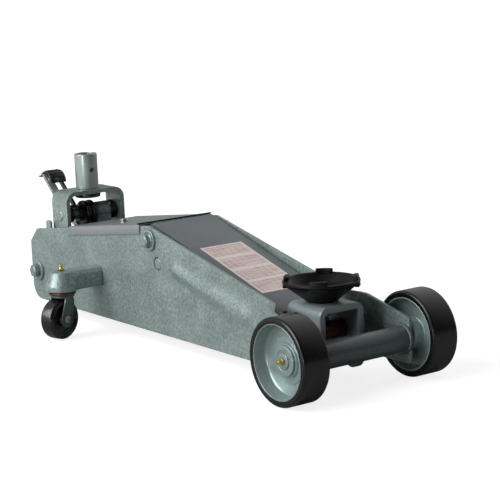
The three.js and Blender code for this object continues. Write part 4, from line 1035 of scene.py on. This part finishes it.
def handle_socket():
    """Welded-on tube that takes the handle, with a tapped hole for its clamping screw."""
    low, high = YOKE_TOP - 6.1, 244.0
    seat, spigot, outer, bore = YOKE_TOP + GAP, 12, 17, 13
    wall = rounded([(0, low), (spigot, low), (spigot, seat), (outer, seat), (outer, high), (bore, high),
                    (bore, seat + 4), (0, seat + 4)], [0, .5, 0, .6, 1.2, 1.2, .8, 0], 4)
    tube = drilled(to_mesh("tube", [turned(wall, "z", (YOKE_X, 0, 0), 96)]),
                   rod(3.6, YOKE_X + 6, YOKE_X + 20, "x", (0, 0, 220), 0.1, 32))
    # The socket's enamel is drawn lighter than the lid's grey: partly painted highlight.
    settle("handle_socket_tube", tube, SOCKET_ENAMEL_PAINTED_HIGHLIGHT, "grip_socket", ["handle_socket"])
    disc_top = YOKE_TOP - YOKE_THICK - 0.5
    make("socket_disc", [ring(2, 19, disc_top - 6.3, disc_top, "z", (YOKE_X, 0, 0), 1.0)], BLACK_ENAMEL,
         "grip_socket", ["socket_retaining_disc"])


def pump_pieces():
    """The grooved lever on the yoke's shaft, the plunger that it pushes down, and the yoke's spring."""
    reach, low, high, bore, hub, groove = 28.0, -12.0, 4.0, 8.3, 18.5, 14.5
    collar = rounded([(bore, low), (hub, low), (hub, -7), (groove, -5.4), (groove, -2.6), (hub, -1),
                      (hub, high), (bore, high)], [.4, 1.2, 1.0, 1.0, 1.0, 1.0, 1.2, .4], 4)
    make("pump_lever_forged", [
        turned(collar, "y", YOKE_PIN, 72), rod(8, low, high, "y", (YOKE_X - reach, 0, YOKE_Z), 1.0),
        block(YOKE_X - reach, YOKE_X - 10, low + 2, high - 2, YOKE_Z - 6, YOKE_Z + 8, 1.2)],
        BLACK_ENAMEL, "yoke", ["pump_lever"])
    cap, plunger = YOKE_Z - 8.5, (YOKE_X - reach, -4.0, 0)
    make("pump_plunger_ground", [rod(6, 80, cap - 1, "z", plunger, 0.8),
                                 ring(1, 9, cap - 4, cap, "z", plunger, 0.8)],
         GROUND, "plunger", ["pump_plunger"])
    grown("yoke_return_spring", WOUND_WIRE,
          {"Coil radius": 12.9 * MM, "Wire radius": 1.6 * MM, "Turns": 2.6, "Height": 7.5 * MM},
          SPRING_STEEL, "frame", on_its_side(YOKE_X, 41, YOKE_Z), ["yoke_torsion_spring"])


def pedal_point(u, v):
    """A place u along the pedal from the shaft, and v above its line."""
    lean = radians(42.5)
    return YOKE_X - u * cos(lean) + v * sin(lean), YOKE_Z + u * sin(lean) + v * cos(lean)


def pedal_pieces():
    """Foot pedal: a light strap, and a bar drawn black as painted shade, under an arched tread with raised
    grip bars.
    """
    along, offset, seat = 70.2, -4.8, 15.2
    strap_low, strap_high, arm_low, arm_high = -41.5, -29.5, -20, -16

    def strip(low, high, first, under, over):
        """A bar that ends on the tread's round underside."""
        steps = [under + (over - under) * k / 4 for k in range(5)]
        tip = [pedal_point(along + sqrt(seat ** 2 - (v - offset) ** 2), v) for v in steps]
        return prism([pedal_point(first, over), pedal_point(first, under), *tip], low, high, bevel=0.6)

    tie = pedal_point(along, 1)
    make("pedal_strap", [strip(strap_low, strap_high, 38, -2.5, 1.5),
                         rod(3.2, -38, -17, "y", (tie[0], 0, tie[1]), 0.4)],
         COVER_ENAMEL, "pedal", ["pedal_arm"])
    # Painted shade: the inner bar, its block and the rings on the shaft are drawn black for the dark seen
    # in the yoke's window.
    dark = [strip(arm_low, arm_high, 0, -3, 4),
            block(YOKE_X - 9, YOKE_X - 1, -34, -18, YOKE_Z + 9, YOKE_Z + 13, 0.8)]
    inner = [pedal_point(0, 5), pedal_point(0, -3), pedal_point(38.5, -2.2), pedal_point(38.5, 1.2)]
    dark.append(prism(inner, -38, -32, bevel=0.7))
    dark += [ring(8.3, 12.4, low, high, "y", YOKE_PIN, 0.7) for low, high in ((-39, -31), (-21, -15))]
    make("pedal_lower_arm", dark, BLACK_ENAMEL, "pedal")
    x, z = pedal_point(along, offset)
    lip = [(x - 21.5, z + 9.4), (x - 20.6, z + 7.4)]
    arch = arc(x, z, 18, 3, 150, 30) + lip + arc(x, z, 15.5, 150, 3, 30)
    solids = [prism(arch, -40.5, -14.5, bevel=0.6)]
    solids.append(prism(arc(x, z, 17.4, 8, 152, 24), -16.2, -14.5, bevel=0.5))
    for k in range(7):
        start, end = 10.5 + 21 * k, 17.5 + 21 * k
        grip = arc(x, z, 18.9, start, end, 4) + arc(x, z, 17.6, end, start, 4)
        solids.append(prism(grip, -38.5, -16.5, bevel=0.3))
    make("pedal_tread_moulded", solids, NYLON, "pedal", ["pedal_tread"])


# ---------------------------------------------------------------- rear casters

def caster(name, side):
    """A bell-shaped bracket welded to the plate, and a swivelling fork with a roller."""
    turn = radians(-17) if side > 0 else pi + radians(17)
    swivel = Matrix.Translation((CASTER_X, side * CASTER_Y, 0)) @ Matrix.Rotation(turn, 4, "Z")
    wheel = swivel @ Matrix.Translation((0, CASTER_TRAIL, 0))
    base, top = 68.5, 97.0
    bell = rounded([(0, base + 3), (20.6, base + 3), (20.6, base), (23.7, base), (23.7, base + 8),
                    (22, base + 12), (14.5, top - 0.4), (0, top)], [0, 1, .8, 1.2, 3, 5, 5, 0], 6)
    dome = turned(bell, "z", (CASTER_X, side * CASTER_Y, 0), 72)
    rear, front = CASTER_X - 17, CASTER_X + 17
    section = rounded([(rear, base + 0.5), (front, base + 0.5), (front, top - 7), (front - 6, top - 0.6),
                       (rear + 6, top - 0.6), (rear, top - 7)], [1.5, 1.5, 5, 6, 6, 5], 5)
    arm = prism(section, *between_faces(side, PLATE_HALF + GAP, CASTER_Y - 10), bevel=0.5)
    bracket = shaped(to_mesh("bracket", [dome, arm]),
                     ("REMESH", {"mode": "VOXEL", "voxel_size": 0.8 * MM}),
                     ("SMOOTH", {"iterations": 5, "factor": 0.6}))
    settle(f"caster_bell_{name}", bracket, FRAME_ENAMEL, "frame", [f"caster_bracket_{name}"], smooth=60)
    race = rounded([(6.3, 63.4), (19.5, 63.4), (19.5, 66.6), (18.3, 67.2), (18.3, 68), (19.3, 68.6),
                    (19.3, 71.5), (6.3, 71.5)], [.3, .8, .3, .3, .3, .3, .6, .3], 3)
    make(f"caster_race_{name}", [moved(turned(race, "z", (0, 0, 0), 72), swivel)], BRONZE, f"swivel_{name}",
         [f"caster_bearing_{name}"])

    crown_top = 63.1
    crown = ring(2, 17, 59.4, crown_top, "z", (0, 0, 0), 1.0)
    post = rod(6, crown_top - 1, 97.4, "z", (0, 0, 0), 0.8)
    legs = []
    for inner, outer in ((13, 16), (-16, -13)):
        outline = link_outline(2, crown_top - 9.2, 9, CASTER_TRAIL, CASTER_R, 11.5)
        legs.append(prism(outline, inner, outer, "yz", bevel=0.7))
    # The fork takes the darker copy of the frame's paint: painted shade.
    make(f"caster_fork_pressed_{name}", [moved(s, swivel) for s in (crown, post, *legs)], FRAME_ENAMEL_PAINTED_SHADE,
         f"swivel_{name}", [f"caster_fork_{name}"])

    half_tyre = [(5.3, 12), (9, 12), (10, 9), (20.5, 9), (22.5, 12), (26, 12), (CASTER_R, 8.5)]
    tyre = rounded([(r, -y) for r, y in half_tyre] + half_tyre[::-1],
                   [.3, .8, 1, 1.5, 1.2, 2, 3, 3, 2, 1.2, 1.5, 1, .8, .3], 4)
    make(f"caster_roller_{name}", [moved(turned(tyre, "x", (0, 0, CASTER_R), 96), wheel)], NYLON,
         f"roller_{name}", [f"caster_wheel_{name}"])
    half_rivet = [(0, 18.8), (3.2, 18.8), (5.6, 16.2), (5, 15)]
    rivet = rounded([(r, -y) for r, y in half_rivet] + half_rivet[::-1],
                    [0, 1.6, .4, .2, .2, .4, 1.6, 0], 4)
    make(f"caster_axle_rivet_{name}", [moved(turned(rivet, "x", (0, 0, CASTER_R), 40), wheel)],
         WHEEL_ENAMEL, f"swivel_{name}", [f"caster_axle_{name}"])
    grease_nipple(f"caster_grease_nipple_{name}", BRASS, "frame", f"caster_nipple_{name}",
                  Matrix.Translation((CASTER_X, side * CASTER_Y, top + 0.6)))


frame_pieces()
for side_name, side_sign in SIDES:
    front_wheel(side_name, side_sign)
    caster(side_name, side_sign)
arm_pieces()
hydraulic_pieces()
handle_yoke()
handle_socket()
pump_pieces()
pedal_pieces()


# ---------------------------------------------------------------- CAD nodes that stay, floor and light

def finish_remaining():
    """Every CAD node gets its own finish: the plunger's spring shows as it is, and the rest is hidden
    by its detailed piece."""
    by_slot = {slot: material for material, slot in reversed(list(SLOTS.items()))}
    for entry in frame["record"]["subparts"]:
        node = frame["nodes"][entry["node"]]
        node.data.materials.clear()
        node.data.materials.append(by_slot[entry["material_slot"]])


def studio():
    """A wide paper floor, two soft lamps and a room that is bright above and behind."""
    floor_mesh = bpy.data.meshes.new("floor")
    reach, level = 30, -0.0005
    corners = [(-reach, -reach, level), (reach, -reach, level), (reach, reach, level),
               (-reach, reach, level)]
    floor_mesh.from_pydata(corners, [], [(0, 1, 2, 3)])
    floor_mesh.materials.append(pale_paper("studio_sweep_paper"))
    floor = bpy.data.objects.new("floor", floor_mesh)
    bpy.context.scene.collection.objects.link(floor)

    # A broad key from the jack's right, and a small weak one from low ahead that draws the highlights.
    lamps = (("key", 2.9, 50, (0.15, 0.85, -0.55)), ("kicker", 0.8, 16, (-0.42, 0.9, 0.02)))
    for name, energy, wide, aim in lamps:
        data = bpy.data.lights.new(name, "SUN")
        data.energy = energy
        data.angle = radians(wide)
        lamp = bpy.data.objects.new(name, data)
        lamp.rotation_euler = Vector(aim).to_track_quat("-Z", "Y").to_euler()
        bpy.context.scene.collection.objects.link(lamp)

    # The room is bright above the handle end and low on the jack's left, dark ahead of it, and white
    # where it is seen itself.
    world = bpy.data.worlds.new("studio")
    world.use_nodes = True
    bpy.context.scene.world = world
    tree = world.node_tree
    tree.nodes.clear()
    ray = add(tree, "ShaderNodeTexCoord").outputs["Generated"]
    lobes = []
    for direction, start, strength in (((-0.62, -0.42, 0.66), 0.0, 0.5), ((-0.1, 0.95, 0.3), 0.6, 0.8)):
        facing = add(tree, "ShaderNodeVectorMath", {0: ray, 1: direction}, operation="DOT_PRODUCT")
        lobes.append(add(tree, "ShaderNodeMapRange", {
            "Value": facing.outputs["Value"], "From Min": start, "From Max": 1.0,
            "To Min": 0.015, "To Max": strength}).outputs[0])
    glow = add(tree, "ShaderNodeMath", {0: lobes[0], 1: lobes[1]}, operation="ADD").outputs[0]
    soft = add(tree, "ShaderNodeBackground", {"Color": (0.97, 0.98, 1.0, 1), "Strength": glow})
    white = add(tree, "ShaderNodeBackground", {"Color": (1, 1, 1, 1), "Strength": 1.0})
    direct = add(tree, "ShaderNodeLightPath").outputs["Is Camera Ray"]
    mixed = add(tree, "ShaderNodeMixShader", {0: direct, 1: soft.outputs[0], 2: white.outputs[0]})
    add(tree, "ShaderNodeOutputWorld", {"Surface": mixed.outputs[0]})
    bpy.context.scene.view_settings.view_transform = "Standard"


finish_remaining()
studio()
